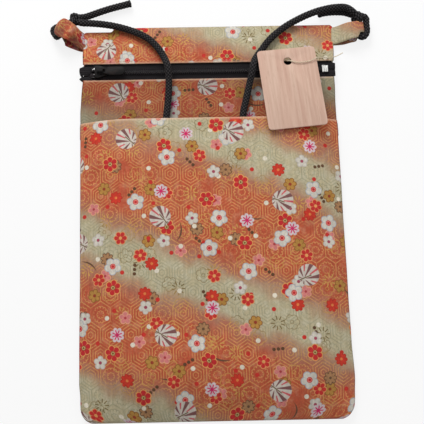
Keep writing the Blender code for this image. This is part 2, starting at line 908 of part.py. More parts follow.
def arm(turned, half_turn):
    """A point of one spiral arm: turned is the angle wound in from the pouch's left side."""
    radius = spiral_radius - spiral_pitch * turned / math.tau
    angle = math.pi + turned + half_turn
    return Vector(
        (
            spiral_centre_x + radius * math.cos(angle),
            spiral_centre_y + radius * math.sin(angle),
            cord_in_pocket_z,
        )
    )


def spiral_points():
    """In along one arm, through the middle, and out along the other, all in one layer."""
    wound = (spiral_radius - spiral_core) / spiral_pitch * math.tau
    count = round(wound / math.tau * spiral_points_a_turn)
    inward = [arm(angle, 0.0) for angle in spread(0.0, wound, count)]
    outward = [arm(angle, math.pi) for angle in reversed(spread(math.pi / 2, wound, count))]
    centre = Vector((spiral_centre_x, spiral_centre_y, cord_in_pocket_z))
    from_centre = inward[-1] - centre
    middle = []
    spoke = from_centre / 2
    for way in (1.0, -1.0):
        hub = centre + spoke * way
        for angle in spread(0.0, math.pi, 9)[1:]:
            middle.append(hub + Matrix.Rotation(angle * way, 3, "Z") @ spoke)
    return inward + middle[:-1] + outward


def least_self_gap(points, diameter, skip):
    """The least distance between the tube's surface and itself, away from neighbouring points."""
    least = math.inf
    for i, first in enumerate(points):
        for second in points[i + skip :]:
            least = min(least, (first - second).length - diameter)
    return least


def make_cord():
    spiral = spiral_points()
    first_way = (spiral[0] - spiral[1]).normalized()
    last_way = (spiral[-1] - spiral[-2]).normalized()
    spiral = [spiral[0] + first_way * cord_diameter] + spiral
    spiral.append(spiral[-1] + last_way * cord_diameter)
    skip = round(spiral_points_a_turn / 3)
    print("least gap of the cord's spiral to itself, mm:", least_self_gap(spiral, cord_diameter, skip) * 1000)
    tube("cord_spiral_in_pocket", spiral, cord_diameter, cord_black, resolution=1)

    left_end = spiral[0] + first_way * clearance
    right_end = spiral[-1] + last_way * clearance
    left_points = leaving(-1, left_strand_way) + left_strand_route
    left_points += [left_end + first_way * cord_diameter * 2, left_end]
    right_points = leaving(1, right_strand_way) + right_strand_route
    right_points += [right_end + last_way * cord_diameter * 2, right_end]
    tube("cord_left_strand", smooth_route(left_points, cord_step), cord_diameter, cord_black)
    tube("cord_right_strand", smooth_route(right_points, cord_step), cord_diameter, cord_black)
    left_tail = smooth_route(leaving(-1, left_tail_way) + left_tail_route, tail_step)
    right_tail = smooth_route(leaving(1, right_tail_way) + right_tail_route, tail_step)
    tube("cord_left_tail", left_tail, cord_diameter, cord_black)
    tube("cord_right_tail", right_tail, cord_diameter, cord_black)
    for word, side in (("left", -1), ("right", 1)):
        make_knot(f"knot_{word}", side)
        make_ring(f"cord_{word}_ring", side)


# Hang tag


def tag_turning():
    """The tag's attitude: turned in plan, then sloping down to its top edge and to the side."""
    return (
        Matrix.Rotation(tag_turn, 3, "Z")
        @ Matrix.Rotation(tag_fall_to_side, 3, "Y")
        @ Matrix.Rotation(-tag_fall_to_top, 3, "X")
    )


def tag_axis_place():
    height = tape_top + clearance + cloth_thickness + tag_above_cloth
    return Vector((tag_axis_x, top_y - tag_below_top, height))


def rounded_rectangle(left, right, low, high, radius):
    outline = []
    for x, y, start in (
        (right - radius, high - radius, 0.0),
        (left + radius, high - radius, math.pi / 2),
        (left + radius, low + radius, math.pi),
        (right - radius, low + radius, -math.pi / 2),
    ):
        for angle in spread(start, start + math.pi / 2, 4):
            outline.append((x + radius * math.cos(angle), y + radius * math.sin(angle)))
    return outline


def make_tag():
    """A thin wooden tag that turns up about its top edge, where it rests on the yoke and cord."""
    axis = empty_at("hang_tag_axis", tag_axis_place(), tag_turning())
    outline = rounded_rectangle(-tag_width / 2, tag_width / 2, -tag_length, 0.0, tag_corner)
    tag = placed("hang_tag", mesh_of("hang_tag", prism(outline, -tag_thickness, 0.0)), tag_wood, axis)
    circle = [
        (tag_hole_radius * math.cos(a), tag_hole_radius * math.sin(a) - tag_hole_from_top)
        for a in spread(0.0, math.tau, 20)[:-1]
    ]
    bore = prism(circle, -tag_thickness - cutter_overrun, cutter_overrun)
    cutter = placed("tag_hole_cutter", mesh_of("tag_hole_cutter", bore), tag_wood, axis)
    cutter.hide_render = True
    cutter.display_type = "WIRE"
    hole = tag.modifiers.new("hole", "BOOLEAN")
    hole.operation = "DIFFERENCE"
    hole.solver = "EXACT"
    hole.object = cutter


def on_tag(right, down, above):
    """A point on the tag: right of and down from the middle of its top edge, above its face."""
    return tag_axis_place() + tag_turning() @ Vector((right, -down, above))


def make_thread():
    """The tag's thread: up through the hole, across the face and out past the side seam."""
    lying = clearance + thread_diameter / 2
    cloth_z = tape_top + clearance + cloth_thickness + lying
    edge = tag_width / 2
    points = [
        on_tag(0.0, tag_hole_from_top, -tag_thickness / 2),
        on_tag(thread_diameter, tag_hole_from_top, lying),
    ]
    for across, down in zip(thread_across_shares, thread_down_shares):
        points.append(on_tag(edge * across, tag_hole_from_top + thread_diameter * down, lying + clearance))
    first_rise, seam_rise, end_rise = (window_top_y + thread_diameter * s for s in thread_rise_shares)
    seam_out, end_out = (side_x + thread_diameter * s for s in thread_out_shares)
    points += [
        on_tag(edge + thread_diameter, tag_hole_from_top, lying),
        Vector((side_x - seam_margin / 2, first_rise, cloth_z + clearance)),
        Vector((seam_out, seam_rise, cloth_z)),
        Vector((end_out, end_rise, cloth_z - clearance)),
    ]
    tube("tag_thread", smooth_route(points, thread_step), thread_diameter, thread_cream)


def main():
    clear_scene()
    make_cloth()
    make_zip()
    make_tab("tab_left", -1)
    make_tab("tab_right", 1)
    make_cord()
    make_tag()
    make_thread()


main()
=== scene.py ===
import math
from collections import namedtuple

import bpy
from mathutils import Matrix, Vector, noise


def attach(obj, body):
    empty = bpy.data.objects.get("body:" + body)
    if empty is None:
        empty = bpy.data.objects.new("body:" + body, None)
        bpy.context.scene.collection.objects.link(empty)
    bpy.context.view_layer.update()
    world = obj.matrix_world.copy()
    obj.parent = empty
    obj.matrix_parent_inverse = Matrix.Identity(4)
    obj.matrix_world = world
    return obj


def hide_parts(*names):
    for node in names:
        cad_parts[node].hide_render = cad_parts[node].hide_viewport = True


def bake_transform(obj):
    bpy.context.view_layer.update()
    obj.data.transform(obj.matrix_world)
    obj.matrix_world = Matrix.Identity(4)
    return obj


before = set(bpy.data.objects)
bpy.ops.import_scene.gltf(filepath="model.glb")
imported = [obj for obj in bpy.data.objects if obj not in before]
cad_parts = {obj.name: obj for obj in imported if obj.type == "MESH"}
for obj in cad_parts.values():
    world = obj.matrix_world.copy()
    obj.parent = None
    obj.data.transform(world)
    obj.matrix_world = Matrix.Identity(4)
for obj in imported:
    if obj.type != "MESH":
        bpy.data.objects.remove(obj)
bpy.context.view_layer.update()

# Sizes of the pouch, in metres, as its solids have them
side_x = 0.0795
top_y = 0.1205
bottom_y = -0.1205
window_top_y = 0.0957
window_low_y = 0.0854
zip_y = 0.09055
mouth_y = 0.0578
bottom_corner = 0.0080
top_corner = 0.0030
seam_lift = 0.0008
seam_margin = 0.0080
seam_front_low = 0.0021
panel_depth = 0.0010
tape_half = 0.00915
zip_rise = 0.0022
zip_end_lift = 0.0013
main_rise = 0.0052
side_ramp = 0.0340
bottom_ramp = 0.0360
zip_blend = 0.0120
pocket_gap = 0.0003
pocket_rise = 0.0045
corner_dip = 0.0026
corner_dip_length = 0.0185
corner_dip_blend = 0.0020

# The cloth as it is cut and sewn
cloth = 0.00042
hem_radius = 0.00045
hem_tuck = 0.0090
zip_tuck = 0.0070
cloth_step = 0.0016
back_step = 0.0030
hidden_step = 0.0050
front_step = 0.0012
yoke_step = 0.0011
front_hidden = 0.006
pocket_clear = 0.0013
edge_steps = (0.0, 0.00012, 0.0003, 0.0006, 0.0010, 0.0015, 0.0022, 0.0032, 0.0045)
# Widths of the painted shade along the seams and of the painted highlight along folded edges
seam_shade = 0.0009
fold_highlight_width = 0.0006

# How far each cloth turns in to its seams: radius and depth
front_turn = (0.0013, 0.0010)
pocket_turn = (0.0020, 0.0017)
back_turn = (0.0015, 0.0011)

# Gathers and waves in the cloth: heights and lengths
pucker_height = 0.00050
pucker_length = 0.0060
pucker_reach = 0.0075
pucker_clear = 0.0012
front_wave = 0.00025
front_wave_length = 0.020
front_wave_margin = 0.010
broad_wave = 0.0014
broad_wave_length = 0.040
small_wave = 0.00030
small_wave_length = 0.017
slump_wave = 0.0012
slump_length = 0.021
slump_top_y = -0.060
slump_fade = 0.050
calm_low_y = 0.030
calm_fade = 0.020
wave_margin = 0.016

# Linings
lining_cloth = 0.00032
lining_half = 0.069
lining_low_y = -0.110
lining_gap = 0.0004
lining_wave = 0.00006
lining_wave_length = 0.012
under_front_gap = 0.0010
yoke_lining_half = 0.0665

# Zip
tape_top = 0.0040
tape_cloth = 0.0005
tape_end_roll = 0.00085
tape_overhang = 0.0013
tape_seam_in = 0.0016
tape_free_x = 0.0740
slider_x = -0.0717
slider_length = 0.0069
post_tail_x = -0.0693
parting = 0.0013
split_half = 0.00022
chain_end_x = 0.0694
coil_pitch = 0.00130
coil_wire = 0.00024
coil_middle_z = 0.0049
coil_middle_y = 0.00062
coil_half_width = 0.00086
coil_half_height = 0.00034
coil_squareness = 0.7
coil_steps = 12
sewing_y = 0.00122
sewing_rise = 0.00056
sewing_thread = 0.00016

# The black lumps that the tapes' left ends are folded into: the upper one is 1, the lower one -1
Lump = namedtuple("Lump", "middle half reach crown_half height")
lumps = {1: Lump(0.0012, 0.0041, 0.0019, 0.0043, 0.0021), -1: Lump(-0.0039, 0.0019, 0.0021, 0.0022, 0.0010)}

# Side tabs: the left one is -1, the right one 1
Tab = namedtuple("Tab", "length end_z turn end_turn from_top knot_share")
tabs = {
    -1: Tab(0.0160, 0.0078, math.radians(29), math.radians(19), 0.0084, 0.62),
    1: Tab(0.0178, 0.0039, math.radians(7.5), math.radians(6), 0.0072, 0.74),
}
tab_width = 0.0115
tab_loop = 0.0031
tab_loop_from = 0.0085
tab_cloth = 0.00062
tab_base_z = 0.00195
tab_sewn = 0.0026
tab_inset = 0.0003
tab_edge_thinning = 0.00018
tab_edge_steps = (0.0, 0.0001, 0.0004, 0.0009, 0.0014)
ring_under_z = 0.0024

# Cord
cord_radius = 0.0020
cord_strands = 6
cord_sides = 32
cord_visible_step = 0.00042
cord_hidden_step = 0.0022
braid_relief = 0.00044
spiral_centre = Vector((-0.0030, -0.0417, 0.0106))
spiral_radius = 0.0415
spiral_pitch = 0.0108
spiral_core = 0.0160
spiral_points_a_turn = 36
knots = {-1: Vector((-0.0845, 0.1259, 0.0043)), 1: Vector((0.0937, 0.1238, 0.0049))}
knot_cord_radius = 0.00185
knot_points = 150
knot_sides = 28
tube_end_rise = 0.0003

# Tag and threads, with the tag's turns in degrees
tag_turn = 5.9
tag_side_lean = 2.9
tag_end_lean = -5.7
tag_hinge = Vector((0.0464, 0.1015, 0.0114))
thread_radius = 0.00028
thread_step = 0.0007
thread_lay = 0.0011
thread_relief = 0.00005
stitch_length = 0.0018
stitch_pitch = 0.0024
stitch_radius = 0.00017
stitch_steps = 6
stitch_sides = 6
stitch_start_x = -0.0760
stitch_end_x = 0.0745
stitch_y = window_top_y + 0.0016

# Studio
sky_light = 0.35
floor_z = -0.0002
floor_glow = 0.82


def held(value, low=0.0, high=1.0):
    """The value, kept from low to high."""
    return min(high, max(low, value))


def ease(value):
    """A run from 0 to 1 that starts and ends level."""
    t = held(value)
    return t * t * (3.0 - 2.0 * t)


def pillow(value):
    """A run from 0 to 1 that starts steep and ends level."""
    return math.sin(held(value) * math.pi / 2)


def hump(value):
    """1 in the middle of its run from 0 to 1, and 0 at both ends."""
    return math.sin(math.pi * held(value))


def bell(value):
    return math.exp(-(value**2))


def dome(value):
    """The height of a half round of radius 1, at a distance from its middle."""
    return math.sqrt(max(0.0, 1.0 - value * value))


def spread(low, high, count):
    return [low + (high - low) * k / count for k in range(count + 1)]


def ripple(x, y, scale, seed):
    """Soft uneven waves of about the given length, from -1 to 1."""
    return noise.noise(Vector((x / scale, y / scale, seed)))


def in_metres(*points):
    return [Vector([value / 1000.0 for value in point]) for point in points]


def turn_of(*turns):
    """Turns in degrees about the axes, of which the last comes first."""
    whole = Matrix.Identity(4)
    for angle, axis in turns:
        whole = whole @ Matrix.Rotation(math.radians(angle), 4, axis)
    return whole


# Camera and light


def stand_camera():
    lens = bpy.data.cameras.new("camera")
    lens.angle = math.radians(34.0)
    lens.clip_start = 0.01
    lens.clip_end = 20.0
    camera = bpy.data.objects.new("camera", lens)
    bpy.context.collection.objects.link(camera)
    place = Matrix.Translation((-0.0035, -0.0638, 0.417))
    camera.matrix_world = place @ turn_of((9.01, "X"), (-0.38, "Y"), (-1.03, "Z"))
    bpy.context.scene.camera = camera


def hang_lamp(name, place, aim, size, power):
    light = bpy.data.lights.new(name, "AREA")
    light.shape = "SQUARE"
    light.size = size
    light.energy = power
    lamp = bpy.data.objects.new(name, light)
    bpy.context.collection.objects.link(lamp)
    lamp.location = place
    lamp.rotation_euler = (Vector(aim) - Vector(place)).to_track_quat("-Z", "Y").to_euler()


def set_studio():
    """A white sky that lights the pouch less than it shows, and two lamps."""
    scene = bpy.context.scene
    scene.view_settings.view_transform = "Standard"
    scene.world = bpy.data.worlds.new("studio")
    scene.world.use_nodes = True
    sky = Nodes(scene.world.node_tree)
    lit = sky.tree.nodes["Background"].inputs
    lit["Color"].default_value = (1.0, 1.0, 1.0, 1.0)
    seen, mirrored = (sky.wire("LightPath", output=ray) for ray in ("Is Camera Ray", "Is Glossy Ray"))
    given = {"Value": seen.do("MAXIMUM", mirrored), "To Min": sky_light, "To Max": 1.0}
    sky.feed(lit["Strength"], sky.wire("MapRange", given))
    hang_lamp("key", (-0.16, 0.60, 0.46), (0.0, 0.02, 0.0), 0.36, 4.5)
    hang_lamp("fill", (0.50, 0.20, 0.75), (0.0, 0.0, 0.0), 0.80, 1.5)


def lay_floor():
    """White paper, which the camera sees mostly as light."""
    bpy.ops.object.select_all(action="DESELECT")
    bpy.ops.mesh.primitive_plane_add(size=6.0, location=(0.0, 0.0, floor_z))
    floor = bpy.context.object
    floor.name = "floor"
    paper = Recipe("pale_floor", 0.9)
    paper.shader.inputs["Base Color"].default_value = (0.90, 0.90, 0.90, 1.0)
    glow = paper.wire("Emission", {"Strength": 1.0})
    share = paper.wire("LightPath", output="Is Camera Ray") * floor_glow
    both = paper.wire("MixShader", {0: share, 1: Wire(paper, paper.shader.outputs[0]), 2: glow})
    paper.feed(paper.tree.nodes["Material Output"].inputs["Surface"], both)
    floor.data.materials.append(paper.material)


# Finishing a piece


def pick(piece):
    bpy.ops.object.select_all(action="DESELECT")
    piece.select_set(True)
    bpy.context.view_layer.objects.active = piece


def finished(piece, body, slot, finish, *nodes):
    """Gives a piece its material and its body, and hides the solids that it stands for. The slot is not used.
    """
    piece.data.materials.clear()
    piece.data.materials.append(finish)
    if body is not None:
        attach(piece, body)
    if nodes:
        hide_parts(*nodes)
    return piece


def grid_sheet(name, across, along, place, flat, painted_light=None):
    """A grid laid over a surface, with a map of the cloth it is cut from, in metres."""
    bpy.ops.object.select_all(action="DESELECT")
    bpy.ops.mesh.primitive_grid_add(x_subdivisions=len(across) - 1, y_subdivisions=len(along) - 1, size=1.0)
    piece = bpy.context.object
    piece.name = name
    mesh = piece.data
    mesh.name = name
    spots = [value for v in along for u in across for value in place(u, v)]
    mesh.vertices.foreach_set("co", spots)
    cut = mesh.uv_layers[0]
    cut.name = "cloth"
    for loop in mesh.loops:
        row, column = divmod(loop.vertex_index, len(across))
        cut.data[loop.index].uv = flat(across[column], along[row])
    # painted_light gives each point 1 for a painted highlight and -1 for painted shade, as an attribute that
    # the print's material reads
    if painted_light is not None:
        rubbed = mesh.attributes.new("painted_light", "FLOAT", "POINT")
        rubbed.data.foreach_set("value", [painted_light(u, v) for v in along for u in across])
    mesh.update()
    return piece


def thicken(piece, depth, side):
    pick(piece)
    wall = piece.modifiers.new("wall", "SOLIDIFY")
    wall.thickness = depth
    wall.offset = side
    wall.use_even_offset = True
    wall.thickness_clamp = 1.0
    bpy.ops.object.modifier_apply(modifier=wall.name)
    bpy.ops.object.shade_smooth_by_angle(angle=math.radians(50))


# The pouch's surfaces: those of its solids, and over them the turns, gathers and waves of the cloth


def half_width(y):
    inset = 0.0
    for corner, away in ((bottom_corner, y - bottom_y), (top_corner, top_y - y)):
        inset += corner - math.sqrt(max(0.0, corner**2 - (corner - min(away, corner)) ** 2))
    return side_x - inset


def near_zip(y):
    return 1.0 - ease((abs(y - zip_y) - tape_half) / zip_blend)


def lift(y):
    if y > zip_y + tape_half:
        return zip_rise * pillow((top_y - y) / (top_y - zip_y - tape_half))
    below = ease((zip_y - tape_half - y) / (zip_y - tape_half - mouth_y))
    return (zip_rise + (main_rise - zip_rise) * below) * pillow((y - bottom_y) / bottom_ramp)


def front_low(x, y):
    side = pillow((half_width(y) - abs(x)) / side_ramp)
    return seam_front_low + lift(y) * (side + (1.0 - side) * near_zip(y))


def back_low(x, y):
    from_side = ease((half_width(y) - abs(x)) / seam_margin)
    from_ends = ease((top_y - y) / seam_margin) * ease((y - bottom_y) / seam_margin)
    return seam_lift * (1.0 - from_side * from_ends) + zip_end_lift * (1.0 - from_side) * near_zip(y)


def from_seam(x, y):
    return min(half_width(y) - abs(x), y - bottom_y, top_y - y)


def turned_in(distance, turn, share=1.0):
    """How far cloth drops where it turns in to a seam."""
    radius, depth = turn
    if distance >= radius:
        return 0.0
    rest = 1.0 - max(0.0, distance) / radius
    return depth * share * (1.0 - dome(rest))


def puckers(x, y):
    """Small gathers that the side seams draw into the cloth."""
    away = half_width(y) - abs(x)
    strength = math.exp(-away / pucker_reach) * (1.0 - math.exp(-away / pucker_clear))
    return pucker_height * strength * ripple(0.3 if x > 0 else 0.7, y, pucker_length, 9.1)


def front_face(x, y):
    calm = 1.0 - near_zip(y)
    away = from_seam(x, y)
    wave = front_wave * ripple(x, y * 1.4, front_wave_length, 4.4) * pillow(away / front_wave_margin)
    height = front_low(x, y) + panel_depth - turned_in(away, front_turn, calm)
    return height + (puckers(x, y) + wave) * calm


def pocket_face(x, y):
    bulge = pillow((half_width(y) - abs(x)) / side_ramp) * pillow((y - bottom_y) / bottom_ramp)
    height = front_low(x, y) + panel_depth * 2.0 + pocket_gap + pocket_rise * bulge
    away = from_seam(x, y)
    broad = broad_wave * (0.5 + 0.5 * ripple(x * 0.7 + y * 0.25, y * 1.5, broad_wave_length, 1.7))
    small = small_wave * ripple(x + y * 0.4, y * 1.2 - x * 0.3, small_wave_length, 6.2)
    slump = slump_wave * ripple(x * 1.1, y * 0.45, slump_length, 2.6) * ease((slump_top_y - y) / slump_fade)
    soft = pillow(away / wave_margin) * (1.0 - 0.7 * ease((y - calm_low_y) / calm_fade))
    return height - turned_in(away, pocket_turn) + soft * (broad + small + slump) + puckers(x, y)


def back_face(x, y):
    return back_low(x, y) + turned_in(from_seam(x, y), back_turn, 1.0 - near_zip(y))


# Where the sewn edge wanders from a straight line, from the bottom to the top
edge_heights = (-0.1205, -0.107, -0.097, -0.075, -0.046, 0.008, 0.049, 0.065, 0.088, 0.1205)
left_wander = (0.0010, 0.0004, -0.0004, -0.0006, -0.0006, -0.0010, -0.0013, -0.0016, 0.0004, -0.0006)
right_wander = (-0.0004, 0.0009, 0.0014, 0.0004, -0.0002, -0.0010, -0.0016, -0.0021, -0.0028, -0.0015)


def wandering(table, y):
    for low, high, start, end in zip(edge_heights, edge_heights[1:], table, table[1:]):
        if y <= high:
            return start + (end - start) * ease((y - low) / (high - low))
    return table[-1]


def settled(x, y):
    """x with the pouch's slightly uneven outline."""
    share = (x / side_x + 1.0) / 2.0
    return x + wandering(left_wander, y) * (1.0 - share) + wandering(right_wander, y) * share


def cloth_columns(step):
    inner = side_x - edge_steps[-1]
    middle = spread(-inner, inner, round(2.0 * inner / step))[1:-1]
    return [-side_x + e for e in edge_steps] + middle + [side_x - e for e in reversed(edge_steps)]


def hem(edge, way, tuck, fold_steps=10, tuck_steps=6):
    """Rows over a folded edge and back inside, as (y, how far below the face, length along the cloth)."""
    rows = []
    for angle in spread(0.0, math.pi, fold_steps):
        out = hem_radius * math.sin(angle)
        below = hem_radius * (1.0 - math.cos(angle))
        rows.append((edge + way * (out - hem_radius), below, way * hem_radius * angle))
    turned_y = rows[-1][0]
    for back in spread(0.0, tuck, tuck_steps)[1:]:
        rows.append((turned_y - way * back, 2.0 * hem_radius, way * (math.pi * hem_radius + back)))
    return [(y, below, edge - way * hem_radius + along) for y, below, along in rows]


def plain_rows(low, high, step, dense_low=False, dense_high=False):
    ys = spread(low, high, max(2, round((high - low) / step)))
    if dense_low:
        ys += [low + e for e in edge_steps[1:-1]]
    if dense_high:
        ys += [high - e for e in edge_steps[1:-1]]
    return [(y, 0.0, y) for y in sorted(set(ys))]


def no_change(x, y):
    return 0.0


def sew_panel(
    name, node, rows, face, finish, cut_from=(0.0, 0.0), narrower=no_change, dip=no_change,
    side=-1.0, step=cloth_step,
):
    """A cut of the print, laid over one of the pouch's faces, for the solid that it stands for."""

    def place(x, row):
        y, below, _ = row
        across = x * (half_width(y) / side_x * (1.0 - narrower(x, y) / side_x))
        return settled(across, y), y - dip(across, y), face(across, y) - below

    def flat(x, row):
        return x + cut_from[0], row[2] + cut_from[1]

    folds = [y for y, below, _ in rows if 0.0 < below < 2.0 * hem_radius]

    def painted_light(x, row):
        """1 for a painted highlight along the folded edges, -1 for painted shade where the cloth turns in to
        the seam.
        """
        away = min(side_x - abs(x), row[0] - bottom_y, top_y - row[0])
        if away < seam_shade:
            return -ease(1.0 - away / seam_shade)
        if not folds or row[1] > 1.2 * hem_radius:
            return 0.0
        return ease(1.0 - min(abs(row[0] - y) for y in folds) / fold_highlight_width)

    piece = grid_sheet(name, cloth_columns(step), rows, place, flat, painted_light)
    thicken(piece, cloth, side)
    return finished(piece, "pouch", "printed_cloth", finish, node)


def top_corner_dip(x, y):
    along = 1.0 - ease((x + side_x - corner_dip_length) / corner_dip_blend)
    return corner_dip * along * ease((y - window_top_y) / (top_y - window_top_y))


def sew_pocket(finish):
    rows = plain_rows(bottom_y, mouth_y - hem_radius, cloth_step, dense_low=True)[:-1]
    rows += hem(mouth_y, 1, hem_tuck)
    piece = sew_panel("pocket_cloth", "pocket_panel", rows, pocket_face, finish)


def sew_front(finish):
    hidden_y = mouth_y - front_hidden
    rows = plain_rows(bottom_y + front_turn[0], hidden_y, hidden_step)[:-1]
    rows += plain_rows(hidden_y, window_low_y - hem_radius, front_step)[:-1]
    rows += hem(window_low_y, 1, zip_tuck)

    def under_pocket(x, y):
        return pocket_clear * (1.0 - ease((y - mouth_y + 0.0010) / 0.0030))

    cut = (0.2750, 0.0030)
    piece = sew_panel("front_cloth", "front_panel", rows, front_face, finish, cut, narrower=under_pocket)


def sew_yoke(finish):
    rows = hem(window_top_y, -1, zip_tuck)[::-1]
    rows += plain_rows(window_top_y + hem_radius, top_y, yoke_step, dense_high=True)[1:]
    piece = sew_panel("yoke_cloth", "top_yoke", rows, front_face, finish, (0.0, 0.0126), dip=top_corner_dip)


def sew_back(finish):
    rows = plain_rows(bottom_y, top_y, back_step, dense_low=True, dense_high=True)
    cut = (0.3170, 0.0550)
    piece = sew_panel(
        "back_cloth", "back_panel", rows, back_face, finish, cut, dip=top_corner_dip, side=1.0, step=back_step
    )


def sew_lining(name, node, half, low_y, high_y, count, height, wave, calico):
    def place(x, y):
        return settled(x, y), y, height(x, y) + wave * ripple(x, y, lining_wave_length, 3.3)

    rows = spread(low_y, high_y, count)
    piece = grid_sheet(name, spread(-half, half, 40), rows, place, lambda x, y: (x, y))
    thicken(piece, lining_cloth, 1.0)
    return finished(piece, "pouch", "lining_cloth", calico, node)


def sew_linings(calico):
    def on_back(x, y):
        return back_low(x, y) + panel_depth + lining_gap

    def under_front(x, y):
        return front_low(x, y) - under_front_gap

    for name, node, high_y, count, height in (
        ("back_lining_cloth", "back_lining", 0.110, 55, on_back),
        ("front_lining_cloth", "front_lining", 0.0811, 48, under_front),
    ):
        piece = sew_lining(name, node, lining_half, lining_low_y, high_y, count, height, lining_wave, calico)
    strip = (yoke_lining_half, 0.1000, 0.1075, 5)
    sew_lining("yoke_lining_cloth", "yoke_lining", *strip, under_front, 0.0, calico)


# Tubes along a path


def carried_frames(path, closed=False):
    """Tangent, normal and binormal at each point of a path, turning as little as they can."""
    count = len(path)
    frames = []
    normal = None
    for k in range(count):
        if closed:
            tangent = (path[(k + 1) % count] - path[k - 1]).normalized()
        else:
            tangent = (path[min(k + 1, count - 1)] - path[max(k - 1, 0)]).normalized()
        if normal is None:
            normal = tangent.cross(Vector((0.0, 0.0, 1.0)))
            if normal.length < 0.1:
                normal = tangent.cross(Vector((1.0, 0.0, 0.0)))
        normal = (normal - tangent * normal.dot(tangent)).normalized()
        frames.append((tangent, normal, tangent.cross(normal)))
    return frames


def smooth_piece(name, verts, faces):
    mesh = bpy.data.meshes.new(name)
    mesh.from_pydata(verts, [], faces)
    mesh.shade_smooth()
    piece = bpy.data.objects.new(name, mesh)
    bpy.context.collection.objects.link(piece)
    return piece


def tube(name, path, radius, sides, relief=None, closed=False):
    """A tube of many rings. relief(turn, along) is added to its radius, and its map is (turn, along)."""
    frames = carried_frames(path, closed)
    along = [0.0]
    for first, second in zip(path, path[1:]):
        along.append(along[-1] + (second - first).length)
    verts = []
    for k, (point, (_, normal, binormal)) in enumerate(zip(path, frames)):
        for turn in spread(0.0, 1.0, sides)[:-1]:
            angle = math.tau * turn
            reach = radius(k) if callable(radius) else radius
            if relief is not None:
                reach += relief(turn, along[k])
            verts.append(point + (normal * math.cos(angle) + binormal * math.sin(angle)) * reach)
    faces = []
    corners = []
    if closed:
        along.append(along[-1] + (path[0] - path[-1]).length)
    for k, (start, end) in enumerate(zip(along, along[1:])):
        low = k * sides
        high = (k + 1) % len(path) * sides
        for side in range(sides):
            after = (side + 1) % sides
            faces.append((low + side, low + after, high + after, high + side))
            corners += [(side, start), (side + 1, start), (side + 1, end), (side, end)]
    if not closed:
        for low, point, way in ((0, path[0], -frames[0][0]), (len(verts) - sides, path[-1], frames[-1][0])):
            verts.append(point + way * tube_end_rise)
            for side in range(sides):
                ring = (low + side, low + (side + 1) % sides)
                faces.append((len(verts) - 1, *(ring if low else ring[::-1])))
    piece = smooth_piece(name, verts, faces)
    wound = piece.data.uv_layers.new(name="wound")
    for loop, (turn, distance) in enumerate(corners):
        wound.data[loop].uv = (turn / sides, distance)
    return piece


def smooth_path(points, count=12):
    """A smooth curve through points, with count steps between each two."""
    padded = [points[0] * 2 - points[1]] + points + [points[-1] * 2 - points[-2]]
    fine = []
    for before, start, end, after in zip(padded, padded[1:], padded[2:], padded[3:]):
        for t in spread(0.0, 1.0, count)[:-1]:
            slope = (end - before) * (t / 2)
            bend = (before * 2 - start * 5 + end * 4 - after) * (t * t / 2)
            twist = (start * 3 - before - end * 3 + after) * (t * t * t / 2)
            fine.append(start + slope + bend + twist)
    return fine + [points[-1]]


def restep(path, step_at):
    """The same line with points step_at(point) apart."""
    picked = [path[0]]
    left = step_at(path[0])
    for first, second in zip(path, path[1:]):
        span = (second - first).length
        done = 0.0
        while span - done >= left:
            done += left
            picked.append(first.lerp(second, done / span))
            left = step_at(picked[-1])
        left -= span - done
    if (picked[-1] - path[-1]).length > 0.0001:
        picked.append(path[-1])
    return picked


def line_length(path):
    return sum((second - first).length for first, second in zip(path, path[1:]))


# Shoulder cord: its routes from the left knot, at -1, and from the right one, at 1

knot_steps = {
    -1: in_metres((0.4, -1.2, 0.6), (4.6, -3.3, 2.2)),
    1: in_metres((-0.6, 0.4, 0.4), (-4.2, 3.2, 2.8)),
}
strand_routes = {
    -1: in_metres(
        (-74.8, 122.2, 6.6), (-68.6, 121.6, 6.6), (-62.3, 120.7, 6.4), (-56.1, 119.3, 6.3),
        (-49.8, 117.1, 6.7), (-43.6, 114.2, 7.4), (-37.8, 110.5, 7.9), (-32.8, 105.2, 8.4),
        (-29.0, 99.0, 9.2), (-26.7, 93.0, 11.8), (-25.8, 88.0, 11.8), (-25.6, 81.0, 10.4),
        (-26.2, 70.0, 10.3), (-27.2, 61.0, 10.6), (-28.5, 50.0, 10.6), (-33.5, 25.0, 10.6),
        (-41.0, 0.0, 10.6),
    ),
    1: in_metres(
        (85.3, 129.6, 7.6), (79.0, 129.8, 7.4), (72.7, 128.9, 7.1), (65.0, 126.8, 6.8), (56.0, 123.0, 6.4),
        (46.4, 117.2, 7.0), (38.0, 110.0, 7.7), (32.1, 102.8, 7.4), (28.1, 96.5, 9.6), (26.3, 91.5, 12.4),
        (25.2, 86.0, 12.1), (23.8, 80.0, 10.6), (21.4, 70.0, 10.3), (19.2, 60.0, 10.6), (18.0, 45.0, 10.6),
        (17.5, 25.0, 10.6),
    ),
}
tail_routes = {
    -1: in_metres(
        (-78.2, 128.1, 3.0), (-70.0, 131.1, 2.7), (-63.0, 133.5, 2.5), (-56.0, 135.4, 2.4),
        (-49.7, 137.0, 2.4),
    ),
    1: in_metres((86.2, 128.3, 2.7), (80.0, 128.9, 2.6), (74.0, 128.6, 2.5), (68.8, 127.6, 2.4)),
}

# The cord's way from a tab's loop back to its knot: how far past the loop's middle, in millimetres, then
# the place across the tab as a share of half its width, and the height as a share of the loop's own
ways_back = {
    -1: (
        (0.2, -0.63, 0.97), (1.8, -0.82, 0.76), (2.8, -0.84, 0.50), (3.6, -0.71, 0.26), (5.2, -0.51, 0.11),
        (5.8, -0.23, 0.02), (4.4, 0.16, 0.0), (2.0, 0.56, 0.0), (0.1, 0.90, 0.0),
    ),
    1: (
        (-0.1, -0.38, 1.0), (0.5, -0.59, 1.0), (1.9, -0.68, 1.0), (3.5, -0.57, 1.0), (4.7, -0.28, 1.0),
        (5.3, 0.10, 1.0), (5.5, 0.70, 1.0), (6.0, 1.29, 1.0), (4.6, 1.57, 1.0),
    ),
}


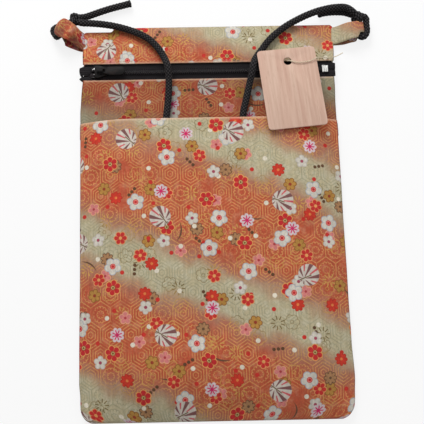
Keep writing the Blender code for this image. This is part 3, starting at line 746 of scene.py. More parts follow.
def braid(turn, along):
    """Height of the crossing strands over the cord's mean surface."""
    lay = math.tau * cord_radius / cord_strands
    u = cord_strands * turn + along / lay
    v = cord_strands * turn - along / lay
    across = u - math.floor(u) - 0.5
    down = v - math.floor(v) - 0.5
    if (math.floor(u) + math.floor(v)) % 2:
        across, down = down, across
    return braid_relief * ((1.0 - (2.0 * across) ** 2) * (1.0 - 0.75 * (2.0 * down) ** 2) - 0.45)


def spiral_arm(turned_by, half_turn):
    radius = spiral_radius - spiral_pitch * turned_by / math.tau
    angle = math.pi + turned_by + half_turn
    return spiral_centre + Vector((math.cos(angle), math.sin(angle), 0.0)) * radius


def spiral_path():
    """A flat double spiral: in along one arm, over the middle, and out along the other."""
    wound = (spiral_radius - spiral_core) / spiral_pitch * math.tau
    count = round(wound / math.tau * spiral_points_a_turn)
    inward = [spiral_arm(angle, 0.0) for angle in spread(0.0, wound, count)]
    outward = [spiral_arm(angle, math.pi) for angle in reversed(spread(math.pi / 2, wound, count))]
    spoke = (inward[-1] - spiral_centre) / 2
    middle = []
    for way in (1.0, -1.0):
        hub = spiral_centre + spoke * way
        for angle in spread(0.0, math.pi, 12)[1:]:
            middle.append(hub + Matrix.Rotation(angle * way, 3, "Z") @ spoke)
    return inward + middle[:-1] + outward


def strand_path(side, spiral_end, spiral_next):
    """From a knot over the pouch and into the pocket, to an end of the spiral."""
    way = (spiral_end - spiral_next).normalized()
    points = [knots[side] + step for step in knot_steps[side]] + strand_routes[side]
    return smooth_path(points + [spiral_end + way * 0.0120, spiral_end + way * 0.0040, spiral_end])


def shoulder_path():
    spiral = spiral_path()
    left = strand_path(-1, spiral[0], spiral[1])
    right = strand_path(1, spiral[-1], spiral[-2])

    def step(point):
        seen = point.y > mouth_y - 0.012
        return cord_visible_step if seen else cord_hidden_step

    return restep(left + spiral[1:-1] + right[::-1], step)


def tab_point(side, u, w, z):
    """A place on a tab, from the distance along it, the distance across it and the height over its middle."""
    tab = tabs[side]
    base = Vector((side * side_x - tab_inset, top_y - tab.from_top))
    along = Vector((side * math.cos(tab.turn), math.sin(tab.turn)))
    across_end = Vector((-side * math.sin(tab.end_turn), math.cos(tab.end_turn)))
    across = Vector((0.0, 1.0)).lerp(across_end, u / tab.length)
    if side < 0:
        towards_end = ease((u - 0.0050) / 0.0110)
        share = held(2.0 * w / tab_width, -1.0)
        fall = ((share + 0.3) / 1.3) ** 2.5 if share > -0.3 else ((-0.3 - share) / 0.7) ** 4
        u += towards_end * (0.0030 * (1.0 - fall) - 0.0015)
        w *= 1.0 + (0.20 if w < 0.0 else 0.0) * towards_end
    flat = base + along * u + across * w
    rise = ease(u / tab_loop_from)
    return Vector((flat.x, flat.y, tab_base_z + (tab.end_z - tab_base_z) * rise + z))


def end_path(side):
    """The cord's end: from the knot through the tab's loop, back to the knot, through it and out."""
    tab = tabs[side]
    inside_u = tab.length - tab_loop
    edge = tab_width / 2
    leave_u = min(tab.length * tab.knot_share, inside_u)
    mean_u = (leave_u + inside_u) / 2
    route = [(leave_u, edge, 1.0), ((leave_u + mean_u) / 2, edge / 2, 1.0), (mean_u, 0.0, 1.0)]
    route += [(inside_u + past / 1000.0, edge * share, height) for past, share, height in ways_back[side]]
    points = [knots[side]]
    for u, w, height in route:
        spot = tab_point(side, u, w, 0.0)
        points.append(Vector((spot.x, spot.y, ring_under_z + (tab.end_z - ring_under_z) * height)))
    points += [knots[side] + Vector((0.0, 0.0006, 0.0002))] + tail_routes[side]
    return restep(smooth_path(points), lambda point: cord_visible_step)


def frayed(path):
    """Radius along a cord's end: a little wider over the last millimetres, where it is cut."""
    last = len(path) - 1

    def radius(k):
        left = (last - k) * cord_visible_step
        return cord_radius * (1.0 + 0.10 * ease(1.0 - left / 0.0030) - 0.22 * ease(1.0 - left / 0.0006))

    return radius


def tight_knot(name, node, centre, way, spin, size, braided):
    """A pulled-tight overhand knot: one cord, three times over and under itself round the given way."""
    turn = Vector(way).to_track_quat("Z", "Y").to_matrix() @ Matrix.Rotation(spin, 3, "Z")
    path = []
    for t in spread(0.0, math.tau, knot_points)[:-1]:
        x = math.sin(t) + 2.0 * math.sin(2.0 * t)
        y = math.cos(t) - 2.0 * math.cos(2.0 * t)
        path.append(centre + turn @ (Vector((x, y, -1.75 * math.sin(3.0 * t))) * size))
    piece = tube(name, path, knot_cord_radius, knot_sides, relief=braid, closed=True)
    return finished(piece, "pouch", "cord_braid", braided, node)


def tie_cord(braided):
    path = shoulder_path()
    shoulder = tube("shoulder_cord", path, cord_radius, cord_sides, relief=braid)
    tied = [
        tight_knot("left_overhand_knot", "knot_left", knots[-1], (0.97, 0.10, 0.06), 0.2, 0.00076, braided),
        tight_knot("right_overhand_knot", "knot_right", knots[1], (-0.74, 0.62, 0.05), 0.9, 0.00090, braided),
    ]
    stretches = ("cord_left_strand", "cord_spiral_in_pocket", "cord_right_strand")
    finished(shoulder, "pouch", "cord_braid", braided, *stretches)
    line_length(path)
    [tuple(p) for p in path]
    for word, side in (("left", -1), ("right", 1)):
        way = end_path(side)
        piece = tube(f"{word}_cord_end", way, frayed(way), cord_sides, relief=braid)
        finished(piece, "pouch", "cord_braid", braided, f"cord_{word}_ring", f"cord_{word}_tail")
        line_length(way)
        [tuple(p) for p in way]


# Tabs


def tab_profile(side):
    """A tab seen from its side, from the seam round its loop and back, as (distance along, height)."""
    start_u = -tab_sewn
    start_half = tab_cloth + 0.00002
    centre = tabs[side].length - tab_loop
    points = [(start_u, start_half)]
    for u in spread(start_u, tab_loop_from, 12)[1:]:
        share = (u - start_u) / (tab_loop_from - start_u)
        points.append((u, start_half + (tab_loop - start_half) * ease(share)))
    points += [(u, tab_loop) for u in spread(tab_loop_from, centre, 4)[1:]]
    for angle in spread(math.pi / 2, 0.0, 10)[1:]:
        points.append((centre + tab_loop * math.cos(angle), tab_loop * math.sin(angle)))
    return points + [(u, -z) for u, z in reversed(points[:-1])]


def tab_lean(side, u, w, under):
    """How far a tab's lower layer slips sideways from under its upper one."""
    if side > 0:
        return -0.0004 * under
    near_end = ease((u - 0.0102) / 0.0046)
    slipped = -0.0009 * under * (1.0 + 2.2 * hump(u / 0.0155))
    tucked = 0.0042 * min(1.0, 1.5 * under) * held(-2.0 * w / tab_width)
    return slipped * (1.0 - near_end) + tucked * near_end


def drawn_in(side, u, w):
    """The cord draws the right tab's lower edge in at the tab's end."""
    if side < 0 or w > 0.0:
        return w
    return w * (1.0 - 0.11 * ease((u - 0.0050) / 0.0060) - 0.61 * ease((u - 0.0126) / 0.0028))


def tab_crease(side, u, w, z):
    """How far a tab's cloth stands off its smooth loop."""
    if u > tabs[side].length - tab_loop:
        return 0.0
    crease = 0.00022 * ripple(u * 1.3, w, 0.0045, 5.0 + side)
    if side < 0:
        if z > 0.0:
            crease -= 0.0022 * ease((-w - 0.0004) / 0.0050) * hump(u / 0.0120)
        crease += 0.0008 * bell((u - 0.0072 + 0.45 * w) / 0.0013)
    return crease


def tab_shade(side, u, w, z):
    """Painted light on a tab, from -1 for painted shade towards 1 for a painted highlight: painted shade over
    the left one's lower half, which is rolled down, with a painted highlight along the fold above it; light
    painted shade over the right one; deeper painted shade on the lower layers of both.
    """
    if side > 0:
        return -0.20 if z > 0.0 else -0.45
    if z <= 0.0:
        return -0.75
    fold = 1.1 * bell((u - 0.0070 + 0.50 * w) / 0.0016)
    return max(-1.0, fold - 0.52 - 0.48 * ease((-w - 0.0002) / 0.0026))


def sew_tab(name, node, side, print_cloth, cut_from):
    profile = tab_profile(side)
    lengths = [0.0]
    for first, second in zip(profile, profile[1:]):
        lengths.append(lengths[-1] + math.dist(first, second))
    half = tab_width / 2
    near_edge = [half - e for e in tab_edge_steps]
    across = [-w for w in near_edge] + spread(-half + 0.0024, half - 0.0024, 5) + near_edge[::-1]

    def place(row, w):
        (u, z), _ = row
        under = ease(0.5 - z / (2.0 * tab_loop))
        from_edge = half - abs(w)
        groove = 0.7 * bell((from_edge - 0.0013) / 0.0003)
        thin = tab_edge_thinning * (ease(1.0 - from_edge / 0.0007) + groove)
        height = z + tab_crease(side, u, w, z) - math.copysign(thin, z)
        return tab_point(side, u, drawn_in(side, u, w + tab_lean(side, u, w, under)), height)

    def flat(row, w):
        return row[1] + cut_from[0], w + cut_from[1]

    def painted_light(row, w):
        (u, z), _ = row
        return tab_shade(side, u, w, z)

    if side < 0:
        across = across[::-1]
    piece = grid_sheet(name, list(zip(profile, lengths)), across, place, flat, painted_light)
    thicken(piece, tab_cloth, 1.0)
    finished(piece, "pouch", "printed_cloth", print_cloth, node)


# Zip


def parted(x):
    """How far the chain stands open on each side of its middle."""
    return parting * (1.0 - ease((x - post_tail_x) / (slider_length - 0.0024)))


def end_lump(side, y):
    """How far a tape's folded left end stands past the seam: the upper one round, the lower one pointed."""
    lump = lumps[side]
    share = abs(y - zip_y - lump.middle) / lump.half
    return lump.reach * (dome(share) if side > 0 else max(0.0, 1.0 - share))


def weave_tape(name, node, side, tape_weave):
    """A zip tape whose two ends are tucked up into black lumps at the side seams."""
    straight = side_x + tape_overhang - tape_end_roll
    seam = straight - tape_seam_in
    slider_end_x = slider_x + slider_length
    rolls = [straight + r for r in spread(0.0, tape_end_roll * math.pi * 1.45, 14)[1:]]
    across = [-u for u in reversed(rolls)] + spread(-straight, slider_x - 0.001, 12)
    across += spread(slider_x, slider_end_x, 12) + spread(slider_end_x, chain_end_x, 66)[1:]
    across += spread(chain_end_x, straight, 14)[1:] + rolls
    outs = [0.0, 0.0004, 0.0009, 0.0015, 0.0021, 0.0027, 0.0034, 0.0041, 0.0046, 0.0049, 0.0058, 0.0091]
    reach = outs[-1]
    lump = lumps[side]

    def inner_edge(x):
        closed = ease((slider_x - 0.0004 - x) / 0.0012) + ease((x - chain_end_x - 0.0020) / 0.0020)
        lap = 0.0022 * ease((-0.0738 - x) / 0.0014) + 0.0006 * ease((x - 0.0745) / 0.0025)
        return (split_half + parted(x)) * (1.0 - closed) + 0.00004 - side * lap

    def place(u, out):
        left = u < 0.0
        start = inner_edge(held(u, -straight, straight))
        y = zip_y + side * (start + (reach - start) * out / reach)
        shown = 1.0 - ease((out - 0.0040) / 0.0009)
        beside_window = 1.0 - ease((out - 0.0047) / 0.0008)
        edge = seam + ((end_lump(side, y) + 0.0007) * beside_window if left else 0.0010 * shown)
        towards = held((abs(u) - tape_free_x) / (straight - tape_free_x))
        x = math.copysign(min(abs(u), tape_free_x) + towards * (edge - tape_free_x), u)
        if left:
            far = ((abs(x) - 0.0783) / 0.0050) ** 2 + ((y - zip_y - lump.middle) / lump.crown_half) ** 2
            z = tape_top + lump.height * math.sqrt(max(0.0, 1.0 - far)) * shown
        else:
            z = tape_top + 0.0008 * ease((u - 0.0752) / 0.0026) * shown * pillow(out / 0.0016)
        if abs(u) > straight:
            angle = (abs(u) - straight) / tape_end_roll
            x = math.copysign(edge + tape_end_roll * math.sin(angle) * shown, u)
            z -= tape_end_roll * (1.0 - math.cos(angle)) * shown * (1.5 if left else 0.9)
        drawn = ease(abs(x) / side_x * 4.0 - 3.0) * (1.0 - (0.4 if left else 0.15) * shown)
        x += wandering(right_wander if x > 0 else left_wander, y) * drawn
        return x, y, z + 0.00010 * ripple(x, y, 0.006, 7.7) * ease((out - 0.0020) / 0.0010)

    piece = grid_sheet(name, across, outs[::side], place, lambda u, out: (u, side * out))
    thicken(piece, tape_cloth, -1.0)
    finished(piece, "pouch", "zip_tape", tape_weave, node)


def squared(value):
    return math.copysign(abs(value) ** coil_squareness, value)


def wind_coil(name, node, side, nylon):
    """One half of the chain: a flattened coil of nylon wire, whose turns mesh with the other half's."""
    path = []
    first_x = slider_x + 0.0002
    turns = int((chain_end_x - 0.0004 - first_x) / coil_pitch)
    shift = 0.0 if side > 0 else coil_pitch / 2
    for k in range(turns * coil_steps):
        angle = math.tau * k / coil_steps
        x = first_x + shift + coil_pitch * k / coil_steps
        y = coil_middle_y + coil_half_width * squared(math.cos(angle)) + parted(x)
        z = coil_middle_z + coil_half_height * squared(math.sin(angle))
        path.append(Vector((x, zip_y + side * y, z)))
    finished(tube(name, path, coil_wire, 6), "pouch", "zip_coil", nylon, node)


def sew_coil(name, side, tape_weave):
    """The thread that holds a coil down on its tape."""
    path = []
    first_x = slider_x + 0.0004
    count = int((chain_end_x - 0.0006 - first_x) / (coil_pitch / 4))
    for k in range(count):
        x = first_x + coil_pitch * k / 4
        y = sewing_y + parted(x) + 0.00008 * math.sin(math.tau * k / 8)
        z = coil_middle_z + sewing_rise + 0.00007 * math.cos(math.tau * k / 4)
        path.append(Vector((x, zip_y + side * y, z)))
    finished(tube(name, path, sewing_thread, 6), "pouch", "zip_tape", tape_weave)


def rounded_copy(node, name, width, body, slot, finish):
    """A copy of a solid with its edges eased, as cast, pressed or cut parts have them."""
    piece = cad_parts[node].copy()
    piece.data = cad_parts[node].data.copy()
    piece.name = name
    piece.data.name = name
    bpy.context.collection.objects.link(piece)
    piece.parent = None
    piece.matrix_world = Matrix.Identity(4)
    pick(piece)
    bpy.ops.object.mode_set(mode="EDIT")
    bpy.ops.mesh.select_all(action="SELECT")
    bpy.ops.mesh.remove_doubles(threshold=0.000002)
    bpy.ops.mesh.dissolve_limited(angle_limit=math.radians(2.0))
    bpy.ops.mesh.normals_make_consistent(inside=False)
    bpy.ops.object.mode_set(mode="OBJECT")
    edge = piece.modifiers.new("edge", "BEVEL")
    edge.width = width
    edge.segments = 3
    edge.limit_method = "ANGLE"
    edge.angle_limit = math.radians(28)
    edge.harden_normals = False
    bpy.ops.object.modifier_apply(modifier=edge.name)
    bpy.ops.object.shade_smooth_by_angle(angle=math.radians(35))
    return finished(piece, body, slot, finish, node)


def stitch_row(name, start, end, line_y, height, thread):
    """A row of machine stitches, each a short bow of thread let into the cloth."""
    verts = []
    faces = []
    for k in range(int((end - start) / stitch_pitch)):
        base = len(verts)
        for share in spread(0.0, 1.0, stitch_steps):
            x = start + k * stitch_pitch + stitch_length * share
            y = line_y + 0.00004 * math.sin(k * 1.7)
            sink = 0.00022 * (2.0 * share - 1.0) ** 4
            fat = stitch_radius * (0.55 + 0.45 * math.sin(math.pi * share))
            centre_z = height(x, y) + 0.00004 - sink
            high = len(verts)
            low = high - stitch_sides
            for side in range(stitch_sides):
                angle = math.tau * side / stitch_sides
                verts.append((settled(x, y), y + fat * math.cos(angle), centre_z + fat * math.sin(angle)))
                after = (side + 1) % stitch_sides
                if high > base:
                    faces.append((low + side, high + side, high + after, low + after))
        faces.append(tuple(base + side for side in range(stitch_sides)))
        faces.append(tuple(len(verts) - 1 - side for side in range(stitch_sides)))
    finished(smooth_piece(name, verts, faces), "pouch", "thread", thread)


# Tag


def thread_points():
    """From the tag's hole over the tag to its edge, and from there to the pouch's side seam."""
    lying = turn_of((tag_turn, "Z"), (tag_side_lean, "Y"), (tag_end_lean, "X"))
    on_tag = in_metres(
        (0.0, -8.5, -0.4), (0.8, -8.5, 0.6), (6.3, -10.4, 0.8), (13.5, -10.1, 0.8), (18.8, -8.5, 0.7)
    )
    past_tag = in_metres((75.5, 97.3, 6.3), (80.3, 99.1, 6.0), (82.7, 100.5, 5.7))
    return [tag_hinge + lying @ point for point in on_tag] + past_tag


def thread_tag(cream):
    """The tag's thread: it lies on the tag to the tag's edge, and bends from there to the pouch."""
    points = thread_points()

    def twist(turn, along):
        return thread_relief * math.sin(math.tau * (turn * 2.0 + along / thread_lay))

    path = restep(smooth_path(points), lambda point: thread_step)
    piece = tube("tag_thread_line", path, thread_radius, 8, relief=twist)
    finished(piece, None, "thread", cream, "tag_thread")
    tuple(points[4])
    tuple(points[-2])
    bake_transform(piece)
    tuple(path[0])
    line_length(path)
    [tuple(p) for p in path]


# Materials


def linear(red, green, blue):
    """A colour in screen values of 0 to 255, as the shaders take it."""
    shares = [value / 255.0 for value in (red, green, blue)]
    return (*(s / 12.92 if s <= 0.04045 else ((s + 0.055) / 1.055) ** 2.4 for s in shares), 1.0)


class Wire:
    """What one node gives: a number or, where it is wide, a vector or a colour, summed as numbers are."""

    def __init__(self, nodes, socket, wide=False):
        self.nodes = nodes
        self.socket = socket
        self.wide = wide

    def do(self, operation, *others):
        return self.nodes.sum(operation, self, *others, wide=self.wide)

    def __add__(self, other):
        return self.do("ADD", other)

    def __sub__(self, other):
        return self.do("SUBTRACT", other)

    def __rsub__(self, other):
        return self.nodes.sum("SUBTRACT", other, self)

    def __mul__(self, other):
        return self.do("MULTIPLY", other)

    def __abs__(self):
        return self.do("ABSOLUTE")

    def scaled(self, factor):
        """A vector times a number."""
        return self.nodes.wire("VectorMath", {0: self, "Scale": factor}, wide=True, operation="SCALE")

    def length(self):
        return self.nodes.wire("VectorMath", {0: self}, "Value", operation="LENGTH")

    def turned(self, angle):
        return self.nodes.wire("VectorRotate", {0: self, "Angle": angle}, wide=True, rotation_type="Z_AXIS")

    def apart(self):
        return [Wire(self.nodes, part) for part in self.nodes.add("SeparateXYZ", {0: self}).outputs]

    def noise(self, scale, detail=2.0, rough=0.5):
        given = {"Vector": self, "Scale": scale, "Detail": detail, "Roughness": rough}
        return self.nodes.wire("TexNoise", given, "Fac")

    def chance(self):
        """A random number and a random vector, the same wherever this vector is the same."""
        node = self.nodes.add("TexWhiteNoise", {"Vector": self}, noise_dimensions="3D")
        return Wire(self.nodes, node.outputs["Value"]), Wire(self.nodes, node.outputs["Color"], True)

    def ramp(self, low, high, start=0.0, end=1.0):
        """A smooth run from start, where this is low, to end, where it is high."""
        given = {"Value": self, "From Min": low, "From Max": high, "To Min": start, "To Max": end}
        return self.nodes.wire("MapRange", given, interpolation_type="SMOOTHSTEP")

    def tint(self, under, top):
        """The colour that lies this share of the way from one screen colour to another."""
        return self.nodes.mix(self, linear(*under), linear(*top))

    def painted(self, share, top):
        """This colour, with another or a screen colour over a share of it."""
        return self.nodes.mix(share, self, linear(*top) if isinstance(top, tuple) else top)


class Nodes:
    """The nodes of a material or of the sky, put in one by one."""

    def __init__(self, tree):
        self.tree = tree

    def feed(self, socket, value):
        if isinstance(value, Wire):
            self.tree.links.new(value.socket, socket)
        else:
            socket.default_value = value

    def add(self, kind, given=(), **settings):
        """A new node with its settings, and what its inputs are given by name or number."""
        node = self.tree.nodes.new("ShaderNode" + kind)
        for key, value in settings.items():
            setattr(node, key, value)
        for key, value in dict(given).items():
            self.feed(node.inputs[key], value)
        return node

    def wire(self, kind, given=(), output=0, wide=False, **settings):
        return Wire(self, self.add(kind, given, **settings).outputs[output], wide)

    def sum(self, operation, *values, wide=False):
        return self.wire("VectorMath" if wide else "Math", enumerate(values), wide=wide, operation=operation)

    def mix(self, share, under, top):
        return self.wire("Mix", {0: share, 6: under, 7: top}, 2, True, data_type="RGBA")

    def together(self, x, y):
        return self.wire("CombineXYZ", {0: x, 1: y}, wide=True)

    def place(self):
        return self.wire("TexCoord", output="Object", wide=True)

    def map(self, name, scale=1.0):
        return self.wire("UVMap", wide=True, uv_map=name).scaled(scale)


class Recipe(Nodes):
    """A material."""

    def __init__(self, name, roughness=0.5, specular=0.5, metallic=0.0):
        self.material = bpy.data.materials.new(name)
        self.material.use_nodes = True
        super().__init__(self.material.node_tree)
        self.shader = self.tree.nodes["Principled BSDF"]
        given = {"Roughness": roughness, "Specular IOR Level": specular, "Metallic": metallic}
        for key, value in given.items():
            self.shader.inputs[key].default_value = value

    def finish(self, colour, height=None, depth=0.0, roughness=None):
        """Feeds the shader, with relief of the given depth in metres, and gives the material."""
        self.feed(self.shader.inputs["Base Color"], colour)
        if roughness is not None:
            self.feed(self.shader.inputs["Roughness"], roughness)
        if height is not None:
            relief = self.wire("Bump", {"Strength": 1.0, "Distance": depth, "Height": height})
            self.feed(self.shader.inputs["Normal"], relief)
        return self.material


# The print, in millimetres of flat cloth

white = (214, 207, 194)
cool_white = (176, 180, 186)
red = (196, 44, 46)
gold = (206, 160, 84)
brown = (104, 74, 54)
dark_brown = (96, 66, 44)
band_width = 92.0
band_start = 45.5
band_slope = 0.418
hexagon_width = 12.0
hexagon_height_share = 0.89
nested_hexagons = 8.0
flowering_hexagons = 0.42
edge_blur = 0.14
line_blur = 0.12
# The node by which darker copies of the print are made as painted shade
print_shade_node = "painted shade of the print"

# Each kind's strewing (side of its squares, their turn, room it takes, share of squares, seed), its petals
# (count, reach, radius), and its fill, rim, heart, heart's radius and ring in the heart
small_flowers = (
    ((33.0, 0.35, 4.0, 0.80, 7.0), (5, 2.2, 1.55), (214, 128, 124), (226, 164, 128), (176, 62, 66), 0.75),
    ((35.0, 1.3, 4.3, 0.80, 11.0), (6, 2.5, 1.45), (184, 136, 66), (142, 92, 44), (150, 60, 40), 0.95),
    ((47.0, 0.15, 4.4, 0.80, 13.0), (8, 2.9, 1.05), (172, 128, 88), brown, brown, 0.8),
)
bright_flowers = (
    ((38.0, 0.6, 4.3, 0.80, 29.0), (8, 2.9, 1.0), (206, 58, 40), (184, 48, 36), (226, 130, 70), 0.8),
    ((35.0, 1.45, 4.2, 0.80, 31.0), (6, 2.5, 1.55), (200, 50, 46), (224, 156, 100), (226, 160, 96), 0.95),
    ((34.0, 0.25, 4.1, 0.80, 37.0), (5, 2.35, 1.55), white, (196, 186, 176), (164, 74, 92), 0.95),
    ((38.0, 1.0, 4.8, 0.85, 41.0), (6, 2.9, 1.85), red, (228, 164, 96), (120, 96, 50), 1.35, (232, 190, 130)),
    ((50.0, 0.8, 4.6, 0.85, 43.0), (8, 3.1, 1.15), (216, 198, 200)),
)
large_flower = (
    (39.0, 0.45, 5.6, 0.85, 47.0), (5, 2.95, 2.15), white, cool_white, (196, 42, 50), 1.65, (236, 150, 132)
)
outlined_flowers = (
    ((25.0, 0.95, 4.8, 0.70, 59.0), (6, 2.6, 1.75)),
    ((29.0, 0.2, 4.8, 0.70, 61.0), (5, 2.6, 1.75)),
)
loose_dots = (
    ((22.0, 0.5, 1.35, 0.75, 19.0), (230, 220, 200)),
    ((22.0, 1.2, 1.25, 0.75, 23.0), (200, 52, 44)),
)
sprays = (27.0, 0.7, 4.4, 0.75, 3.0)
twigs = (62.0, 1.1, 6.5, 0.85, 5.0)
dots_in_threes = (40.0, 0.9, 4.6, 0.80, 17.0)
balls = (50.0, 1.25, 6.7, 0.85, 53.0)


def strewn(cloth, cell, turn, room, share, seed):
    """Places strewn one to a square of a turned grid: the way from this square's, and whether it is taken."""
    squares = cloth.turned(turn).scaled(1.0 / cell) + (seed * 7.31, seed * 3.77, 0.0)
    corner = squares.do("FLOOR")
    spin, luck = (corner + (0.0, 0.0, seed)).chance()
    slack = 1.0 - 2.0 * room / cell
    moved = (luck - (0.5, 0.5, 0.5)) * (slack, slack, 0.0)
    away = (squares - corner - (0.5, 0.5, 0.0) - moved).scaled(cell)
    return away.turned(spin * math.tau), luck.apart()[2].do("LESS_THAN", share)


def folded_angle(away, count):
    """Distance from the middle, and the angle from the nearest of count rays, 1 from one ray to the next."""
    x, y, _ = away.apart()
    turns = y.do("ARCTAN2", x) * (count / math.tau)
    return away.length(), (turns + 64.5).do("FRACT") - 0.5


def petal_edge(away, count, reach, petal):
    """Distance from the edge of a ring of round petals, less than 0 inside it."""
    far, share = folded_angle(away, count)
    angle = share * (math.tau / count)
    out = far * angle.do("COSINE") - reach
    edge = away.nodes.together(out, far * angle.do("SINE")).length() - petal
    return edge.do("MINIMUM", far - reach), far, share


def inside(edge):
    return edge.ramp(edge_blur, -edge_blur)


def line_at(distance, half):
    return abs(distance).ramp(half + line_blur, max(0.0, half - line_blur))


def ray_at(share, far, count, half, blur):
    """The nearest of count straight rays from the middle."""
    return (abs(share) * far * (math.tau / count)).ramp(half + blur, half - blur)


def blossom(colour, place, petals, fill, rim=None, heart=None, heart_size=0.0, ring=None):
    """A round-petalled flower, as a paper stencil would give it."""
    away, taken = place
    edge, far, share = petal_edge(away, *petals)
    reach = petals[1]
    shape = taken * inside(edge)
    colour = colour.painted(shape, fill)
    crease = shape * (0.5 - abs(share)).ramp(0.07, 0.02) * far.ramp(reach * 1.3, reach)
    colour = colour.painted(crease * 0.55, rim or fill)
    if rim is not None:
        colour = colour.painted(taken * line_at(edge + 0.12, 0.22), rim)
        colour = colour.painted(taken * inside(far - heart_size), heart)
    if ring is not None:
        colour = colour.painted(taken * line_at(far - heart_size * 0.62, 0.16), ring)
    return colour


def hexagon_lattice(cloth, width):
    """Fine lines of nested hexagons, with a many-petalled flower in some of them."""
    root = math.sqrt(3.0) / 2.0
    half = (0.5, root, 0.0)
    back = tuple(-h for h in half)
    grid = cloth * (1.0 / width, hexagon_height_share / width, 0.0)
    first = grid.do("WRAP", half, back)
    second = (grid - half).do("WRAP", half, back)
    nearer = first.length().do("LESS_THAN", second.length())
    local = second + (first - second).scaled(nearer)
    x, y, _ = abs(local).apart()
    out = x.do("MAXIMUM", x * 0.5 + y * root)
    steps = (out * nested_hexagons + 0.5).do("FRACT") - 0.5
    nested = abs(steps * (width / nested_hexagons)).ramp(0.36, 0.14)
    middle = ((grid - local).scaled(2.0) + (0.5, 0.5, 0.5)).do("FLOOR")
    chosen = middle.chance()[0].do("GREATER_THAN", 1.0 - flowering_hexagons)
    away = local * (width, width / hexagon_height_share, 0.0)
    petals = abs(petal_edge(away, 14, width * 0.33, width * 0.072)[0]).ramp(0.34, 0.12)
    core = abs(petal_edge(away, 8, width * 0.13, width * 0.055)[0]).ramp(0.30, 0.10)
    outline = abs((out - 0.5) * width).ramp(0.4, 0.15)
    flower = petals.do("MAXIMUM", core).do("MAXIMUM", outline)
    return (flower - nested) * chosen + nested


def banded_ground(cloth, mottle, dust):
    """Slanting bands of orange and sage under the lattice: the colour, and the share that is sage."""
    x, y, _ = cloth.apart()
    broad = cloth.noise(0.020)
    small = cloth.noise(0.075, 3.0)
    slope = x * band_slope + y + (broad - 0.5) * 24.0 + (small - 0.5) * 16.0
    band = (slope * (1.0 / band_width) + (0.5 - band_start / band_width)).do("FRACT")
    from_band = abs(band - 0.5) * band_width
    pale = from_band.ramp(20.0, 6.0)
    colour = small.tint((196, 80, 52), (184, 95, 66))
    colour = colour.painted(mottle.ramp(0.46, 0.72, 0.0, 0.60), (204, 138, 104))
    colour = colour.painted(mottle.ramp(0.42, 0.26, 0.0, 0.45), (166, 66, 46))
    colour = colour.painted(from_band.ramp(31.0, 15.0), mottle.tint((176, 112, 92), (168, 124, 100)))
    sage = broad.tint((182, 172, 138), (198, 184, 150))
    sage = sage.painted(mottle.ramp(0.40, 0.66, 0.0, 0.50), (202, 197, 172))
    colour = colour.painted(pale, sage)
    rubbed = (cloth + (311.0, 17.0, 0.0)).noise(0.060).ramp(0.30, 0.50)
    strength = pale.ramp(0.0, 1.0, 0.78, 0.50) * dust.ramp(0.28, 0.52, 0.45, 1.0)
    line_colour = small.tint((222, 160, 104), (206, 158, 86)).painted(pale, (136, 138, 112))
    return colour.painted(hexagon_lattice(cloth, hexagon_width) * rubbed * strength, line_colour), pale


def line_motifs(colour, cloth, pale):
    """Sprays, outlined flowers and twigs, gold on the orange bands and brown on the sage ones."""
    away, taken = strewn(cloth, *sprays)
    far, share = folded_angle(away, 9)
    spray = ray_at(share, far, 9, 0.31, 0.11) * abs(far - 3.0).ramp(1.3, 1.0)
    colour = colour.painted(taken * spray, pale.tint(gold, (122, 104, 62)))
    for place, petals in outlined_flowers:
        away, taken = strewn(cloth, *place)
        edge, far, _ = petal_edge(away, *petals)
        drawn = line_at(edge, 0.20).do("MAXIMUM", line_at(far - 1.0, 0.18))
        colour = colour.painted(taken * drawn * 0.80, pale.tint(gold, (134, 116, 72)))
    away, taken = strewn(cloth, *twigs)
    x, y, _ = away.apart()
    bow = abs(y - x * x * 0.05)
    thinning = 0.5 - x * x * 0.0135
    return colour.painted(taken * inside(bow - thinning), brown)


def dots(colour, cloth):
    """Rows of three dark dots, and loose dots of white and red."""
    away, taken = strewn(cloth, *dots_in_threes)
    x, y, _ = away.apart()
    beside = (x * (1.0 / 2.5)).do("ROUND").do("MAXIMUM", -1.0).do("MINIMUM", 1.0) * 2.5
    row = cloth.nodes.together(x - beside, y).length() - 1.0
    colour = colour.painted(taken * inside(row), dark_brown)
    for place, paint in loose_dots:
        away, taken = strewn(cloth, *place)
        colour = colour.painted(taken * inside(away.length() - place[2]), paint)
    return colour


def star_rays(colour, place, count, reach):
    """The pink rays of the last of the bright flowers."""
    away, taken = place
    far, share = folded_angle(away, count)
    rays = ray_at(share, far, count, 0.34, 0.12) * far.ramp(reach, reach - 0.3)
    return colour.painted(taken * rays, (208, 34, 98))


def striped_balls(colour, cloth):
    """Balls wound in two colours of thread from a pole that is off their middle."""
    away, taken = strewn(cloth, *balls)
    ball = taken * inside(away.length() - 6.3)
    colour = colour.painted(ball, (210, 200, 188))
    pole = away + (1.0, -3.6, 0.0)
    from_pole, lune = folded_angle(pole, 7)
    wide = abs(lune)
    dark_lunes = ball * from_pole.ramp(0.8, 1.6) * wide.ramp(0.17, 0.12)
    pink_lunes = ball * wide.ramp(0.40, 0.45) * from_pole.ramp(4.0, 4.6)
    stalk = ball * line_at(pole.apart()[0] - 0.3, 0.3) * from_pole.ramp(5.2, 4.8)
    for share, paint in ((dark_lunes, (128, 84, 82)), (pink_lunes, (206, 90, 96)), (stalk, (110, 92, 52))):
        colour = colour.painted(share, paint)
    return colour


